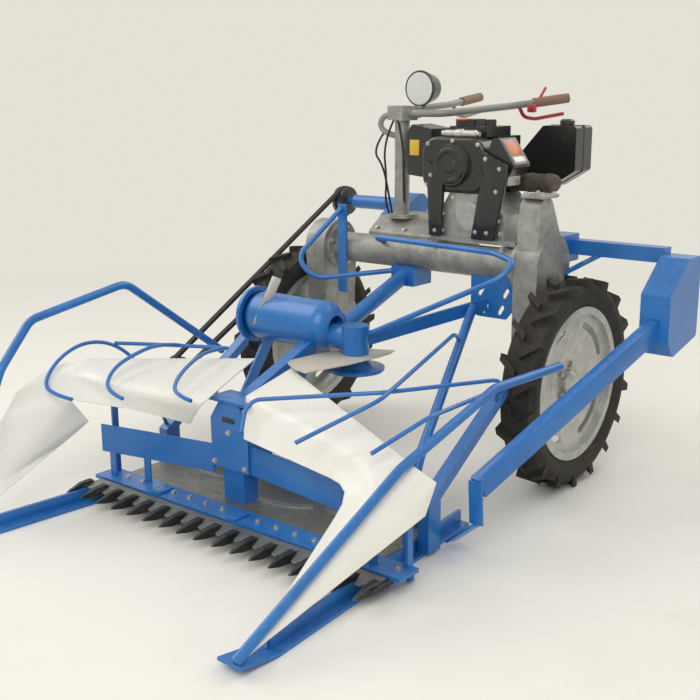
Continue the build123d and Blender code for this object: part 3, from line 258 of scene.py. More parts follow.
finishes = {
    "blue_paint": paintFinish("bluePaint", (0.013, 0.185, 0.560), (0.009, 0.135, 0.460), (0.10, 0.13, 0.17),
                              (0.24, 0.36, 0.52)),
    "white_paint": paintFinish("creamPaint", (0.93, 0.92, 0.87), (0.89, 0.87, 0.80), (0.35, 0.32, 0.27),
                               (0.70, 0.66, 0.56), rough=0.38, dustAmount=0.2),
    "grey_casting": castFinish("silverCasting", (0.42, 0.42, 0.395), (0.27, 0.27, 0.25), (0.62, 0.61, 0.58)),
    "silver_rim": castFinish("silverRim", (0.56, 0.56, 0.53), (0.44, 0.44, 0.41), (0.70, 0.69, 0.66),
                             rough=0.4, metallic=0.5, bump=0.12),
    "alloy": castFinish("dieCastAlloy", (0.52, 0.52, 0.50), (0.36, 0.36, 0.34), (0.72, 0.71, 0.69),
                        rough=0.42, metallic=0.6, bump=0.2),
    "grey_paint": paintFinish("greyPaint", (0.30, 0.30, 0.28), (0.24, 0.24, 0.225), (0.10, 0.09, 0.08),
                              (0.40, 0.38, 0.33), rough=0.42),
    "black_paint": paintFinish("blackPaint", (0.016, 0.016, 0.015), (0.011, 0.011, 0.010), (0.14, 0.13, 0.12),
                               (0.16, 0.15, 0.13), rough=0.3, dustAmount=0.3),
    "muffler_steel": castFinish("burntSteel", (0.115, 0.10, 0.08), (0.07, 0.055, 0.042), (0.22, 0.20, 0.17),
                                rough=0.62, metallic=0.3),
    "deck_steel": bareSteel("deckSteel", (0.36, 0.36, 0.32), (0.12, 0.075, 0.045), rough=0.42),
    "dark_fingers": castFinish("darkFingers", (0.050, 0.054, 0.056), (0.026, 0.028, 0.030), (0.26, 0.26, 0.26),
                               rough=0.5, metallic=0.5),
    "pulley_iron": castFinish("pulleyIron", (0.10, 0.10, 0.10), (0.05, 0.05, 0.05), (0.35, 0.35, 0.34),
                              rough=0.45, metallic=0.6),
    "tyre": rubberFinish("tyreRubber", (0.017, 0.016, 0.014), (0.075, 0.058, 0.040)),
    "belt_rubber": rubberFinish("beltRubber", (0.018, 0.018, 0.018), (0.06, 0.055, 0.05), rough=0.65, dustAmount=0.3),
    "grip_rubber": rubberFinish("gripRubber", (0.26, 0.15, 0.105), (0.36, 0.25, 0.19), rough=0.55, dustAmount=0.3),
    "red_paint": paintFinish("redPaint", (0.50, 0.022, 0.030), (0.38, 0.014, 0.020), (0.25, 0.2, 0.18),
                             (0.5, 0.3, 0.28), rough=0.34),
    "lens": lensFinish("lampGlass"),
    # finishes that only single pieces have
    "zinc": bareSteel("zincPlate", (0.62, 0.61, 0.58), (0.30, 0.22, 0.14), rough=0.3),
    "orangePlate": paintFinish("orangePlate", (0.75, 0.16, 0.02), (0.62, 0.12, 0.015), (0.3, 0.2, 0.15),
                               (0.6, 0.4, 0.3), rough=0.4, dustAmount=0.15),
    "yellowPlate": paintFinish("yellowPlate", (0.78, 0.50, 0.04), (0.68, 0.42, 0.03), (0.3, 0.25, 0.15),
                               (0.6, 0.5, 0.3), rough=0.4, dustAmount=0.15),
    "leafCream": paintFinish("leafCream", (0.60, 0.55, 0.46), (0.54, 0.49, 0.40), (0.25, 0.22, 0.18),
                             (0.62, 0.58, 0.48), rough=0.45, dustAmount=0.3),
}
print("finishes made:", len(finishes))


def dressNodes():
    for row in frame["record"]["subparts"]:
        mesh = nodes[row["node"]].data
        mesh.materials.clear()
        mesh.materials.append(finishes[row["material_slot"]])


studio = {
    "floorSize": 120,
    "floorColour": (0.92, 0.90, 0.85),
    "floorMarks": (0.80, 0.765, 0.69),
    "markStrength": 0.4,
    "fade": (1.6, 5.0),
    "backdrop": (0.775, 0.752, 0.675),
    "worldLight": 0.62,
    "lamps": (
        # place in metres, aim in metres, size, watts
        ((2.5, -4.5, 4.5), (0, 0, 0.5), 4.0, 150),
        ((-4.0, -1.0, 4.0), (0, 0, 0.5), 3.5, 90),
        ((1.5, 4.0, 4.5), (0, 0, 0.6), 4.0, 90),
    ),
}


def seenRays(wire):
    # one for the rays that show the floor and backdrop directly or in a mirror
    return (wire.node("LightPath", out="Is Camera Ray") + wire.node("LightPath", out="Is Glossy Ray")).clip()


def addStudio():
    bpy.ops.object.select_all(action="DESELECT")
    bpy.ops.mesh.primitive_plane_add(size=studio["floorSize"], location=(0, 0, 0))
    floor = bpy.context.object
    floor.name = "studioFloor"
    material, shader, wire = newFinish("paleFloor")
    marks = grain(wire, 2.2, 6.0, 0.7).spread(0.5, 0.75)
    setShader(wire, shader, Roughness=0.7, Normal=lift(wire, grain(wire, 40.0, 4.0), 0.15, 0.002),
              Base_Color=(marks * studio["markStrength"]).blend(studio["floorColour"], studio["floorMarks"]))
    # far off, where the lamps don't reach, the floor passes into the backdrop's own colour
    reach = wire.node("VectorMath", {"operation": "LENGTH"}, {0: placeOn(wire)}, "Value")
    glow = wire.node("Emission", {}, {"Color": studio["backdrop"], "Strength": 1.0})
    lit = Wire(wire.tree, shader.outputs[0])
    faded = wire.node("MixShader", {}, {0: reach.spread(*studio["fade"]) * seenRays(wire), 1: lit, 2: glow})
    wire.feed(wire.tree.nodes["Material Output"].inputs["Surface"], faded)
    floor.data.materials.append(material)
    world = bpy.data.worlds.new("studioWorld")
    bpy.context.scene.world = world
    world.use_nodes = True
    wire = Wire(world.node_tree)
    background = world.node_tree.nodes["Background"]
    wire.feed(background.inputs["Color"], studio["backdrop"])
    wire.feed(background.inputs["Strength"], seenRays(wire).spread(0.0, 1.0, studio["worldLight"], 1.0))
    for place, aim, size, watts in studio["lamps"]:
        bpy.ops.object.light_add(type="AREA", location=place)
        lamp = bpy.context.object
        lamp.data.size = size
        lamp.data.energy = watts
        lamp.rotation_mode = "QUATERNION"
        lamp.rotation_quaternion = (Vector(aim) - Vector(place)).to_track_quat("-Z", "Y")


# modelling by hand: a shape is started, worked in edit mode, then settled into its place

mergeGap = 0.00005
foldAngle = 0.5
rodShape = {"roundness": 3, "order": 3, "fineness": 6}


def freshStart():
    if bpy.context.object and bpy.context.object.mode != "OBJECT":
        bpy.ops.object.mode_set(mode="OBJECT")
    bpy.ops.object.select_all(action="DESELECT")


def takeUp(piece):
    freshStart()
    piece.select_set(True)
    bpy.context.view_layer.objects.active = piece
    return piece


def openFaces(piece, test):
    # edit mode with the faces picked by their normal
    takeUp(piece)
    bpy.context.tool_settings.mesh_select_mode = (False, False, True)
    bpy.ops.object.mode_set(mode="EDIT")
    bpy.ops.mesh.select_all(action="DESELECT")
    bpy.ops.object.mode_set(mode="OBJECT")
    for face in piece.data.polygons:
        face.select = test(face.normal)
    bpy.ops.object.mode_set(mode="EDIT")


def useModifier(piece, kind, **settings):
    takeUp(piece)
    modifier = piece.modifiers.new(kind.lower(), kind)
    for key, value in settings.items():
        setattr(modifier, key, value)
    bpy.ops.object.modifier_apply(modifier=modifier.name)
    return piece


def roundOff(piece, width, segments=2):
    return useModifier(piece, "BEVEL", width=width / 1000, segments=segments, limit_method="ANGLE",
                       angle_limit=foldAngle)


def blockAt(low, high, edge=3):
    freshStart()
    low, high = at(*low), at(*high)
    bpy.ops.mesh.primitive_cube_add(size=1, location=(low + high) / 2, scale=high - low)
    bpy.ops.object.transform_apply(location=True, rotation=True, scale=True)
    return roundOff(bpy.context.object, edge)


def barBetween(start, end, width, height, edge=3):
    # a straight bar of rectangular section, its height kept upright
    freshStart()
    start, end = at(*start), at(*end)
    run = end - start
    bpy.ops.mesh.primitive_cube_add(size=1, location=(0, 0, 0))
    bar = bpy.context.object
    size = Vector((run.length, width / 1000, height / 1000))
    bar.matrix_world = Matrix.LocRotScale((start + end) / 2, run.to_track_quat("X", "Z"), size)
    bpy.ops.object.transform_apply(location=True, rotation=True, scale=True)
    return roundOff(bar, edge)


def plateFrom(outline, depth, edge=2):
    # a flat outline brought to its corners and extruded
    freshStart()
    bpy.ops.mesh.primitive_circle_add(vertices=len(outline), fill_type="NGON", location=(0, 0, 0))
    plate = bpy.context.object
    for corner, place in zip(plate.data.vertices, outline):
        corner.co = at(*place)
    bpy.ops.object.mode_set(mode="EDIT")
    bpy.ops.mesh.select_all(action="SELECT")
    bpy.ops.mesh.extrude_region_move(TRANSFORM_OT_translate={"value": Vector(depth) / 1000})
    bpy.ops.mesh.select_all(action="SELECT")
    bpy.ops.mesh.normals_make_consistent(inside=False)
    bpy.ops.object.mode_set(mode="OBJECT")
    return roundOff(plate, edge)


def spunFrom(points, faces, centre, axis, angle, steps):
    mesh = bpy.data.meshes.new("spun")
    links = [] if faces else [(row, row + 1) for row in range(len(points) - 1)]
    mesh.from_pydata(points, links, faces)
    piece = bpy.data.objects.new("spun", mesh)
    bpy.context.collection.objects.link(piece)
    takeUp(piece)
    bpy.ops.object.mode_set(mode="EDIT")
    bpy.ops.mesh.select_all(action="SELECT")
    bpy.ops.mesh.spin(steps=steps, angle=angle, center=centre, axis=axis)
    bpy.ops.mesh.select_all(action="SELECT")
    bpy.ops.mesh.remove_doubles(threshold=mergeGap)
    bpy.ops.mesh.normals_make_consistent(inside=False)
    bpy.ops.object.mode_set(mode="OBJECT")
    return piece


def turned(profile, place, out, steps=28):
    # radius and height in millimetres, spun as on a lathe and set facing outwards
    points = [(radius / 1000, 0, height / 1000) for radius, height in profile]
    piece = spunFrom(points, [], (0, 0, 0), (0, 0, 1), 2 * math.pi, steps)
    piece.matrix_world = Matrix.LocRotScale(at(*place), Vector(out).to_track_quat("Z", "Y"), None)
    takeUp(piece)
    bpy.ops.object.transform_apply(location=True, rotation=True, scale=True)
    return piece


def rodAlong(route, radius):
    # a smooth round rod, bent through its places
    curve = bpy.data.curves.new("rodRoute", "CURVE")
    curve.dimensions = "3D"
    curve.bevel_depth = radius / 1000
    curve.bevel_resolution = rodShape["roundness"]
    curve.use_fill_caps = True
    spline = curve.splines.new("NURBS")
    spline.points.add(len(route) - 1)
    for knot, place in zip(spline.points, route):
        knot.co = (*at(*place), 1)
    spline.use_endpoint_u = True
    spline.order_u = rodShape["order"]
    spline.resolution_u = rodShape["fineness"]
    rod = bpy.data.objects.new("rod", curve)
    bpy.context.collection.objects.link(rod)
    takeUp(rod)
    bpy.ops.object.convert(target="MESH")
    return bpy.context.object


def settle(made, name, slotName, body="machine", finish=None, stands=(), angle=35):
    # joins what was made, puts its place into the mesh and gives it finish and carrier
    made = made if isinstance(made, list) else [made]
    piece = takeUp(made[0])
    for other in made[1:]:
        other.select_set(True)
    if len(made) > 1:
        bpy.ops.object.join()
    bpy.ops.object.transform_apply(location=True, rotation=True, scale=True)
    bpy.ops.object.shade_smooth_by_angle(angle=math.radians(angle))
    piece.name = name
    piece.data.name = name
    piece.data.materials.clear()
    piece.data.materials.append(finishes[finish or slotName])
    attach(piece, body)
    if stands:
        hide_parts(*stands)
    return piece


forward = (0, -1, 0)
upwards = (0, 0, 1)
boltShape = {"washer": 1.3, "washerSides": 14, "washerDepth": 0.25, "head": 1.0, "headSides": 6, "headDepth": 0.75,
             "chamfer": 0.16}
seat = {"reach": 0.03, "steepest": 0.4}


def modelBolt():
    freshStart()
    bpy.ops.mesh.primitive_cylinder_add(vertices=boltShape["washerSides"], radius=boltShape["washer"],
                                        depth=boltShape["washerDepth"],
                                        location=(0, 0, boltShape["washerDepth"] / 2))
    washer = bpy.context.object
    freshStart()
    bpy.ops.mesh.primitive_cylinder_add(vertices=boltShape["headSides"], radius=boltShape["head"],
                                        depth=boltShape["headDepth"],
                                        location=(0, 0, boltShape["washerDepth"] + boltShape["headDepth"] / 2))
    head = bpy.context.object
    openFaces(head, lambda normal: normal.z > 0.9)
    bpy.ops.mesh.inset(thickness=boltShape["chamfer"])
    bpy.ops.transform.translate(value=(0, 0, boltShape["chamfer"] / 2))
    bpy.ops.object.mode_set(mode="OBJECT")
    takeUp(washer)
    head.select_set(True)
    bpy.ops.object.join()
    bpy.ops.object.transform_apply(location=True, rotation=True, scale=True)
    return washer


def seated(spots):
    # the surface under each spot, so that every bolt sits on what carries it
    graph = bpy.context.evaluated_depsgraph_get()
    found = []
    for place, out in spots:
        away = Vector(out)
        start = at(*place) + away * seat["reach"]
        hit, spot, normal = bpy.context.scene.ray_cast(graph, start, -away, distance=2 * seat["reach"])[:3]
        if hit:
            found.append((spot, normal if normal.dot(away) > seat["steepest"] else away))
    return found


def boltSet(name, spots, size, slotName="alloy", body="machine", finish="zinc"):
    made = []
    for place, out in seated(spots):
        bolt = boltMaster.copy()
        bolt.data = boltMaster.data.copy()
        bolt.hide_viewport = False
        bpy.context.collection.objects.link(bolt)
        bolt.matrix_world = Matrix.LocRotScale(place, out.to_track_quat("Z", "Y"), Vector((size, size, size)) / 1000)
        made.append(bolt)
    print(name, len(made), "of", len(spots), "seated")
    return settle(made, name, slotName, body, finish)


def ringOf(count, radius, centre, out, start=0.0):
    # bolt places round a centre, for a face that looks along X
    turns = [start + 2 * math.pi * step / count for step in range(count)]
    return [((centre[0], centre[1] + radius * math.cos(turn), centre[2] + radius * math.sin(turn)), out)
            for turn in turns]


boltMaster = modelBolt()
boltMaster.hide_viewport = True

# crop hoods: corners joined by facets, divided and eased so that the folds turn softly
hoodLeft = {
    "corners": {
        "tip": (612, -1585, 32), "ridge": (648, -960, 343), "bulge": (702, -930, 300), "flank": (705, -985, 222),
        "elbow": (500, -1040, 268), "creaseOut": (585, -1010, 320), "backIn": (-40, -695, 450),
        "creaseIn": (-20, -925, 412), "frontIn": (30, -990, 300),
    },
    "facets": (
        ("tip", "ridge", "bulge"), ("tip", "bulge", "flank"), ("tip", "elbow", "creaseOut"),
        ("tip", "creaseOut", "ridge"), ("ridge", "creaseOut", "creaseIn"), ("ridge", "creaseIn", "backIn"),
        ("creaseOut", "elbow", "frontIn"), ("creaseOut", "frontIn", "creaseIn"),
    ),
}
hoodRight = {
    "corners": {
        "backOut": (-632, -1042, 460), "backIn": (-224, -673, 450), "creaseOut": (-630, -1143, 430),
        "creaseMid": (-379, -1115, 420), "creaseIn": (-105, -1025, 400), "frontIn": (-208, -990, 300),
        "frontMid": (-382, -1086, 340), "frontOut": (-570, -1177, 360), "noseHigh": (-690, -1164, 448),
        "noseMid": (-680, -1298, 395), "noseFront": (-660, -1380, 315), "noseLow": (-640, -1412, 128),
        "low": (-620, -1144, 215), "elbow": (-570, -1109, 268), "tip": (-612, -1585, 32),
    },
    "facets": (
        ("backOut", "backIn", "creaseMid"), ("backIn", "creaseIn", "creaseMid"),
        ("backOut", "creaseMid", "creaseOut"), ("creaseOut", "creaseMid", "frontMid"),
        ("creaseOut", "frontMid", "frontOut"), ("creaseMid", "creaseIn", "frontIn"),
        ("creaseMid", "frontIn", "frontMid"), ("backOut", "creaseOut", "noseHigh"),
        ("creaseOut", "noseMid", "noseHigh"), ("creaseOut", "frontOut", "noseMid"),
        ("frontOut", "noseFront", "noseMid"), ("frontOut", "noseLow", "noseFront"),
        ("frontOut", "elbow", "noseLow"), ("elbow", "low", "noseLow"), ("low", "tip", "noseLow"),
    ),
}


def foldedHood(shape, cuts=9, eased=16, wall=5, edge=1.6):
    names = list(shape["corners"])
    mesh = bpy.data.meshes.new("hood")
    mesh.from_pydata([at(*shape["corners"][name]) for name in names], [],
                     [[names.index(name) for name in facet] for facet in shape["facets"]])
    hood = bpy.data.objects.new("hood", mesh)
    bpy.context.collection.objects.link(hood)
    takeUp(hood)
    bpy.ops.object.mode_set(mode="EDIT")
    bpy.ops.mesh.select_all(action="SELECT")
    bpy.ops.mesh.normals_make_consistent(inside=False)
    bpy.ops.mesh.subdivide(number_cuts=cuts)
    bpy.ops.mesh.select_all(action="SELECT")
    bpy.ops.mesh.region_to_loop()
    bpy.ops.object.mode_set(mode="OBJECT")
    if sum(face.normal.z for face in hood.data.polygons) < 0:
        hood.data.flip_normals()
    inside = hood.vertex_groups.new(name="inside")
    inside.add([corner.index for corner in hood.data.vertices if not corner.select], 1.0, "REPLACE")
    useModifier(hood, "SMOOTH", factor=0.5, iterations=eased, vertex_group="inside")
    useModifier(hood, "SOLIDIFY", thickness=wall / 1000, offset=-1)
    return roundOff(hood, edge)


settle(foldedHood(hoodLeft), "hoodLeftShell", "white_paint", stands=("hood_left",), angle=40)
settle(foldedHood(hoodRight), "hoodRightShell", "white_paint", stands=("hood_right",), angle=40)
hoodBracket = {"foot": (-597, -984, 290), "top": (-602, -1010, 452), "width": 24, "thick": 6}
settle(barBetween(hoodBracket["foot"], hoodBracket["top"], hoodBracket["width"], hoodBracket["thick"]),
       "hoodRightBracket", "blue_paint")
print("crop hoods made")

# crop guide hooks over the right hood, on a stem from the skid
guideHooks = {
    "radius": 6.5,
    "routes": (
        ((-566, -770, 150), (-600, -850, 400), (-640, -930, 490), (-655, -1040, 515), (-652, -1150, 482),
         (-632, -1230, 418), (-575, -1240, 390), (-500, -1220, 382)),
        ((-640, -930, 490), (-444, -815, 490), (-300, -727, 484)),
        ((-444, -815, 490), (-447, -900, 512), (-451, -1020, 490), (-441, -1105, 462), (-410, -1160, 414),
         (-335, -1150, 398)),
        ((-300, -727, 484), (-285, -830, 500), (-250, -950, 480), (-205, -1048, 452), (-165, -1085, 428),
         (-98, -1080, 418)),
    ),
}
settle([rodAlong(route, guideHooks["radius"]) for route in guideHooks["routes"]], "guideHooksRight", "blue_paint",
       stands=("guides_right",))

# push tube with its bent end strap and foot
pushTube = {"top": (880, 18, 582), "end": (700, -722, 222), "width": 42, "height": 66,
            "strap": ((700, -734, 244), (700, -724, 110), (590, -690, 18)), "strapWidth": 46, "strapThick": 9}
pushBars = [barBetween(pushTube["top"], pushTube["end"], pushTube["width"], pushTube["height"], edge=6)]
for start, end in zip(pushTube["strap"], pushTube["strap"][1:]):
    pushBars.append(barBetween(start, end, pushTube["strapWidth"], pushTube["strapThick"]))
settle(pushBars, "pushTubeWithStrap", "blue_paint", stands=("push_tube",))
print("guide hooks and push tube made")

# engine front: starter cover, arms, pump barrel, bracket under the air box, and screws
engineFront = {
    "starter": ((0, 6), (22, 6), (26, 2), (44, 2), (48, 7), (58, 7), (63, 1), (70, 0)),
    "starterPlace": (118, -36, 1066),
    "leftArm": ((240, 1121), (348, 1075), (335, 990), (296, 816), (206, 816), (232, 967), (254, 1037)),
    "rightArm": ((14, 1079), (88, 1047), (80, 816), (29, 816)),
    "armBack": -13,
    "armDepth": (0, -18, 0),
    "barrel": ((0, 0), (10, 0), (10, 12), (13, 14), (13, 60), (16, 62), (16, 84), (13, 86), (13, 138), (8, 142),
               (8, 154), (0, 154)),
    "barrelPlace": (60, 6, 1174),
    "bracket": ((254, -8, 1004), (342, 70, 1037)),
    # screws by name: face Y, size, then places across the face
    "screws": {
        "cowlScrews": (-20, 6, ((16, 1138), (222, 1140), (14, 996), (120, 1150))),
        "armScrews": (-31, 6, ((262, 1094), (318, 1062), (306, 985), (272, 842), (226, 842), (56, 836), (36, 1030))),
        "crankcaseBolts": (0, 8, ((76, 836), (76, 896), (306, 838), (306, 884), (112, 952), (236, 952))),
    },
}
settle(turned(engineFront["starter"], engineFront["starterPlace"], forward, steps=36), "starterCover", "black_paint")
settle([plateFrom([(x, engineFront["armBack"], z) for x, z in engineFront[arm]], engineFront["armDepth"], edge=4)
        for arm in ("leftArm", "rightArm")], "engineArms", "black_paint")
settle(turned(engineFront["barrel"], engineFront["barrelPlace"], (1, 0, 0)), "pumpBarrel", "alloy", finish="zinc")
settle(blockAt(*engineFront["bracket"], edge=5), "airBoxBracket", "alloy")
for name, (faceY, size, places) in engineFront["screws"].items():
    boltSet(name, [((x, faceY, z), forward) for x, z in places], size)

# slanted face of the air box: grey frame, orange plate and a pale band
airBoxPlate = {
    "high": (301.5, 1162),
    "low": (365.5, 1070),
    "out": (0.821, 0, 0.571),
    # name: start and end down the slope, front and rear Y, thickness, slot, finish
    "plates": {
        "airBoxFrame": (0.06, 0.94, -2, 86, 2.0, "grey_paint", None),
        "airBoxPatch": (0.14, 0.62, 6, 78, 3.0, "black_paint", "orangePlate"),
        "airBoxBand": (0.68, 0.86, 6, 78, 3.0, "white_paint", None),
    },
}


def slantedPlate(begin, end, front, rear, thick):
    high, low, out = airBoxPlate["high"], airBoxPlate["low"], airBoxPlate["out"]
    top = [high[row] + (low[row] - high[row]) * begin for row in range(2)]
    foot = [high[row] + (low[row] - high[row]) * end for row in range(2)]
    outline = [(top[0], front, top[1]), (foot[0], front, foot[1]), (foot[0], rear, foot[1]), (top[0], rear, top[1])]
    return plateFrom(outline, tuple(value * thick for value in out), edge=0.8)


for name, (*spread, slotName, finish) in airBoxPlate["plates"].items():
    settle(slantedPlate(*spread), name, slotName, finish=finish)

# plain colour patches on the head's top and the side cowl's front
headPatch = {"x": (76, 118), "y": (60, 96), "sunk": 3, "proud": 3}
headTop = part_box("engine_head")[1].z * 1000
settle(blockAt((headPatch["x"][0], headPatch["y"][0], headTop - headPatch["sunk"]),
               (headPatch["x"][1], headPatch["y"][1], headTop + headPatch["proud"]), edge=1.5),
       "headPatch", "black_paint", finish="orangePlate")
sidePatch = {"x": (-108, -66), "z": (1090, 1146), "sunk": 3, "proud": 2.5}
sideFront = (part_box("side_cowl")[0].y - axleY) * 1000
settle(blockAt((sidePatch["x"][0], sideFront - sidePatch["proud"], sidePatch["z"][0]),
               (sidePatch["x"][1], sideFront + sidePatch["sunk"], sidePatch["z"][1]), edge=1.5),
       "sideCowlPatch", "black_paint", finish="yellowPlate")

# fuel tank seam and cap, muffler bands, lamp bezel
fuelTank = {
    "seam": ((172, 974), (172, 1078), (279, 1196), (416, 1196), (416, 1034), (316, 974)),
    "seamY": 376,
    "seamWidth": (0, 8, 0),
    "cap": ((0, 22), (20, 22), (24, 18), (27, 16), (27, 4), (22, 2), (22, -4)),
    "capPlace": (345, 380, 1194),
}
settle(plateFrom([(x, fuelTank["seamY"], z) for x, z in fuelTank["seam"]], fuelTank["seamWidth"], edge=3),
       "tankSeam", "black_paint")
settle(turned(fuelTank["cap"], fuelTank["capPlace"], upwards), "tankCap", "black_paint")

muffler = {"band": ((47, -7), (50, -5), (50, 5), (47, 7)), "places": (262, 330, 398), "y": 167, "z": 1004,
           "oval": 0.69}
mufflerBands = []
for x in muffler["places"]:
    middle = (x, muffler["y"], muffler["z"])
    mufflerBands.append(turned(muffler["band"], middle, (1, 0, 0)))
    bpy.ops.object.mode_set(mode="EDIT")
    bpy.ops.mesh.select_all(action="SELECT")
    bpy.ops.transform.resize(value=(1, 1, muffler["oval"]), center_override=at(*middle))
    bpy.ops.object.mode_set(mode="OBJECT")
settle(mufflerBands, "mufflerBands", "muffler_steel")

lampBezel = {"ring": ((58, -2), (63, -3), (65.5, 1), (65.5, 9), (63, 12), (59, 10)), "place": (-190, 217, 1326)}
settle(turned(lampBezel["ring"], lampBezel["place"], forward, steps=40), "lampBezel", "black_paint")
print("engine pieces made")

# handle hoop and control cables, clamped at both ends
controls = {
    "hoopRadius": 11,
    "hoop": ((-195, 110, 1225), (-250, 96, 1240), (-292, 92, 1204), (-268, 98, 1160), (-195, 110, 1150)),
    "cableRadius": 4,
    "cables": (
        ((-270, 96, 1166), (-300, 62, 1101), (-252, 66, 1046), (-246, 90, 950), (-240, 112, 846)),
        ((-196, 84, 1212), (-150, 58, 1120), (-156, 66, 1008), (-176, 100, 895), (-182, 120, 846)),
        ((-214, 84, 1216), (-232, 40, 1130), (-222, 50, 1000), (-262, 90, 900), (-264, 130, 846)),
    ),
}
settle(rodAlong(controls["hoop"], controls["hoopRadius"]), "handleHoop", "grey_paint")
settle([rodAlong(route, controls["cableRadius"]) for route in controls["cables"]], "controlCables", "belt_rubber")

# raised red blade beside the left grip, from the lever's own clamp
redBlade = {"back": 100, "up": 74, "width": 13, "thick": 5, "foot": 14,
            "clampIn": 12, "clampHalf": (15, 12), "clampBelow": 16, "clampAbove": 12}
leverLow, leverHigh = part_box("lever_left")
clampX = ((leverLow.x + leverHigh.x) / 2 - axleX) * 1000
clampY = (leverLow.y - axleY) * 1000 + redBlade["clampIn"]
clampZ = leverHigh.z * 1000
halfX, halfY = redBlade["clampHalf"]
bladeEnd = (clampX, clampY + redBlade["back"], clampZ + redBlade["up"])
blade = barBetween((clampX, clampY, clampZ - redBlade["foot"]), bladeEnd, redBlade["thick"], redBlade["width"], edge=2)
clamp = blockAt((clampX - halfX, clampY - halfY, clampZ - redBlade["clampBelow"]),
                (clampX + halfX, clampY + halfY, clampZ + redBlade["clampAbove"]), edge=4)
settle([blade, clamp], "redBlade", "red_paint")

# castings: bolts of the arch's flanges and the gearbox, and the tower's bolted cap
archFlange = {"x": 396, "z": 738, "count": 8, "radius": 70, "start": 0.39, "size": 8}
flangeBolts = []
for side in (1, -1):
    flangeBolts += ringOf(archFlange["count"], archFlange["radius"], (side * archFlange["x"], 0, archFlange["z"]),
                          (-side, 0, 0), archFlange["start"])
boltSet("archFlangeBolts", flangeBolts, archFlange["size"])

gearbox = {
    "front": 40, "frontX": (-270, -142, -14), "frontZ": (708, 812),
    "top": 850, "topX": (-215, -60), "topY": (64, 306),
    "size": 8,
}
gearboxBolts = [((x, gearbox["front"], z), forward) for x in gearbox["frontX"] for z in gearbox["frontZ"]]
gearboxBolts += [((x, y, gearbox["top"]), upwards) for x in gearbox["topX"] for y in gearbox["topY"]]
boltSet("gearboxBolts", gearboxBolts, gearbox["size"])

tower = {"cap": ((414, -52, 972), (504, 52, 984)), "top": 984, "boltX": (428, 490), "boltY": (-38, 38), "size": 7}
settle(blockAt(*tower["cap"], edge=4), "towerCap", "grey_casting")
boltSet("towerCapBolts", [((x, y, tower["top"]), upwards) for x in tower["boltX"] for y in tower["boltY"]],
        tower["size"])

# wheels: bolts through the disc into the hub
hubBolts = {"count": 5, "radius": 62, "dome": 34, "size": 11}
for side, tag in ((1, "left"), (-1, "right")):
    hubLow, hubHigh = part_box("hub_" + tag)
    face = ((hubHigh.x if side > 0 else hubLow.x) - axleX) * 1000 - side * hubBolts["dome"]
    ring = ringOf(hubBolts["count"], hubBolts["radius"], (face, 0, axleZ * 1000), (side, 0, 0))
    boltSet("hubBolts" + tag.title(), ring, hubBolts["size"], "silver_rim", "wheel_" + tag)

# cutter: a bolt for each finger, hold-down clips, crescent bars on the deck
cutter = {
    "first": -583.1, "pitch": 76.2, "count": 17, "boltY": -1012, "barTop": 57, "boltSize": 8,
    "clips": (-320, 30, 380), "clipHalf": 20, "clipY": (-1058, -990), "clipZ": (56, 66),
}
fingerBolts = [((cutter["first"] + cutter["pitch"] * step, cutter["boltY"], cutter["barTop"]), upwards)
               for step in range(cutter["count"])]
boltSet("fingerBolts", fingerBolts, cutter["boltSize"])
clips = []
for x in cutter["clips"]:
    clips.append(blockAt((x - cutter["clipHalf"], cutter["clipY"][0], cutter["clipZ"][0]),
                         (x + cutter["clipHalf"], cutter["clipY"][1], cutter["clipZ"][1]), edge=3))
settle(clips, "holdDownClips", "blue_paint")

crescents = {
    # middle, radius, first angle and sweep of each bar
    "bars": (((0, -640), 250, -2.35, 1.5), ((300, -660), 180, -2.2, 1.3), ((-300, -660), 170, -2.2, 1.2)),
    "width": 26, "thick": 4, "floor": 56.5, "steps": 26,
}
crescentBars = []
for (x, y), radius, start, sweep in crescents["bars"]:
    centre = at(x, y, crescents["floor"])
    across = Vector((math.cos(start), math.sin(start), 0))
    near, far = centre + across * (radius - crescents["width"]) / 1000, centre + across * radius / 1000
    up = Vector((0, 0, crescents["thick"] / 1000))
    section = [near, far, far + up, near + up]
    crescentBars.append(spunFrom(section, [(0, 1, 2, 3)], centre, (0, 0, -1), sweep, crescents["steps"]))
settle(crescentBars, "deckCrescents", "deck_steel", finish="zinc")

# binder head: cap, bolts, and a thin black block on the front face where the slot is, which paints the shade inside
# the slot
binderHead = {
    "cap": ((-156, -961, 384), (18, -859, 396)),
    "slot": ((-98, -958, 322), (-44, -953, 338)),
    "face": -955,
    "bolts": ((-70, 290), (-136, 372), (-2, 372), (-136, 184), (-2, 184)),
    "boltSize": 8,
}
settle(blockAt(*binderHead["cap"], edge=4), "binderHeadCap", "blue_paint")
# painted shade: the slot is not cut, and this black block stands in for the dark inside of it
settle(blockAt(*binderHead["slot"], edge=2), "binderSlotPaintedShade", "black_paint")
boltSet("binderBolts", [((x, binderHead["face"], z), forward) for x, z in binderHead["bolts"]], binderHead["boltSize"])

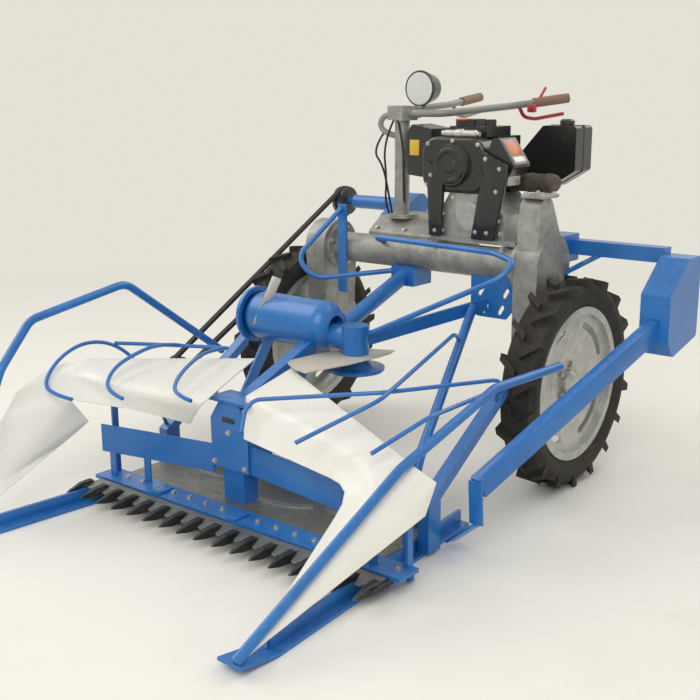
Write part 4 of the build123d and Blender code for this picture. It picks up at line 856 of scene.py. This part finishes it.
# leaf plate with its rounded rear edge, and the disc under it
leafPlate = {
    "top": 461, "wall": 4,
    "outline": ((-85, -650), (-74, -545), (-40, -440), (24, -368), (105, -330), (120, -372), (120, -440), (104, -570),
                (60, -740), (-8, -722), (-66, -684)),
    "disc": ((0, 0), (96, 0), (99, 4), (99, 12), (62, 16), (48, 34), (44, 54), (0, 54)),
    "discPlace": (30, -450, 404),
}
settle(turned(leafPlate["disc"], leafPlate["discPlace"], upwards, steps=40), "reelDisc", "blue_paint")
leafUnder = leafPlate["top"] - leafPlate["wall"]
settle(plateFrom([(x, y, leafUnder) for x, y in leafPlate["outline"]], (0, 0, leafPlate["wall"]), edge=1.2),
       "leafPlateRounded", "white_paint", finish="leafCream", stands=("leaf_plate",))

# binder drum: bolted end disc, tapered shoulder to the hub arm, and the flat arm that leans on its front
drum = {
    "right": (-430, -450, 540), "left": (-100, -450, 540),
    "endDisc": ((0, 14), (70, 14), (92, 12), (99, 8), (101, 3), (101, -8), (84, -8)),
    "shoulder": ((86, -6), (86, 2), (76, 24), (58, 40), (40, 46), (40, -6)),
    "bolts": 8, "boltRadius": 84, "boltFace": (-444, -450, 540), "boltSize": 7,
    "arm": ((-352, -531, 520), (-306, -470, 688)), "armThick": 7, "armWidth": 34,
}
settle([turned(drum["endDisc"], drum["right"], (-1, 0, 0), steps=40),
        turned(drum["shoulder"], drum["left"], (1, 0, 0), steps=40)], "drumEnds", "blue_paint")
boltSet("drumBolts", ringOf(drum["bolts"], drum["boltRadius"], drum["boltFace"], (-1, 0, 0)), drum["boltSize"])
settle(barBetween(*drum["arm"], drum["armThick"], drum["armWidth"], edge=2), "drumArm", "alloy", finish="zinc")

# round post under the left hood
hoodPost = {"route": ((636, -958, 8), (638, -976, 120), (640, -992, 290)), "radius": 13}
settle(rodAlong(hoodPost["route"], hoodPost["radius"]), "hoodLeftPost", "blue_paint")
bpy.data.objects.remove(boltMaster, do_unlink=True)
print("bolts, cutter and binder pieces made")

addCamera()
addStudio()
dressNodes()
print("camera, studio and node finishes set")

bpy.context.scene.view_settings.view_transform = "Standard"
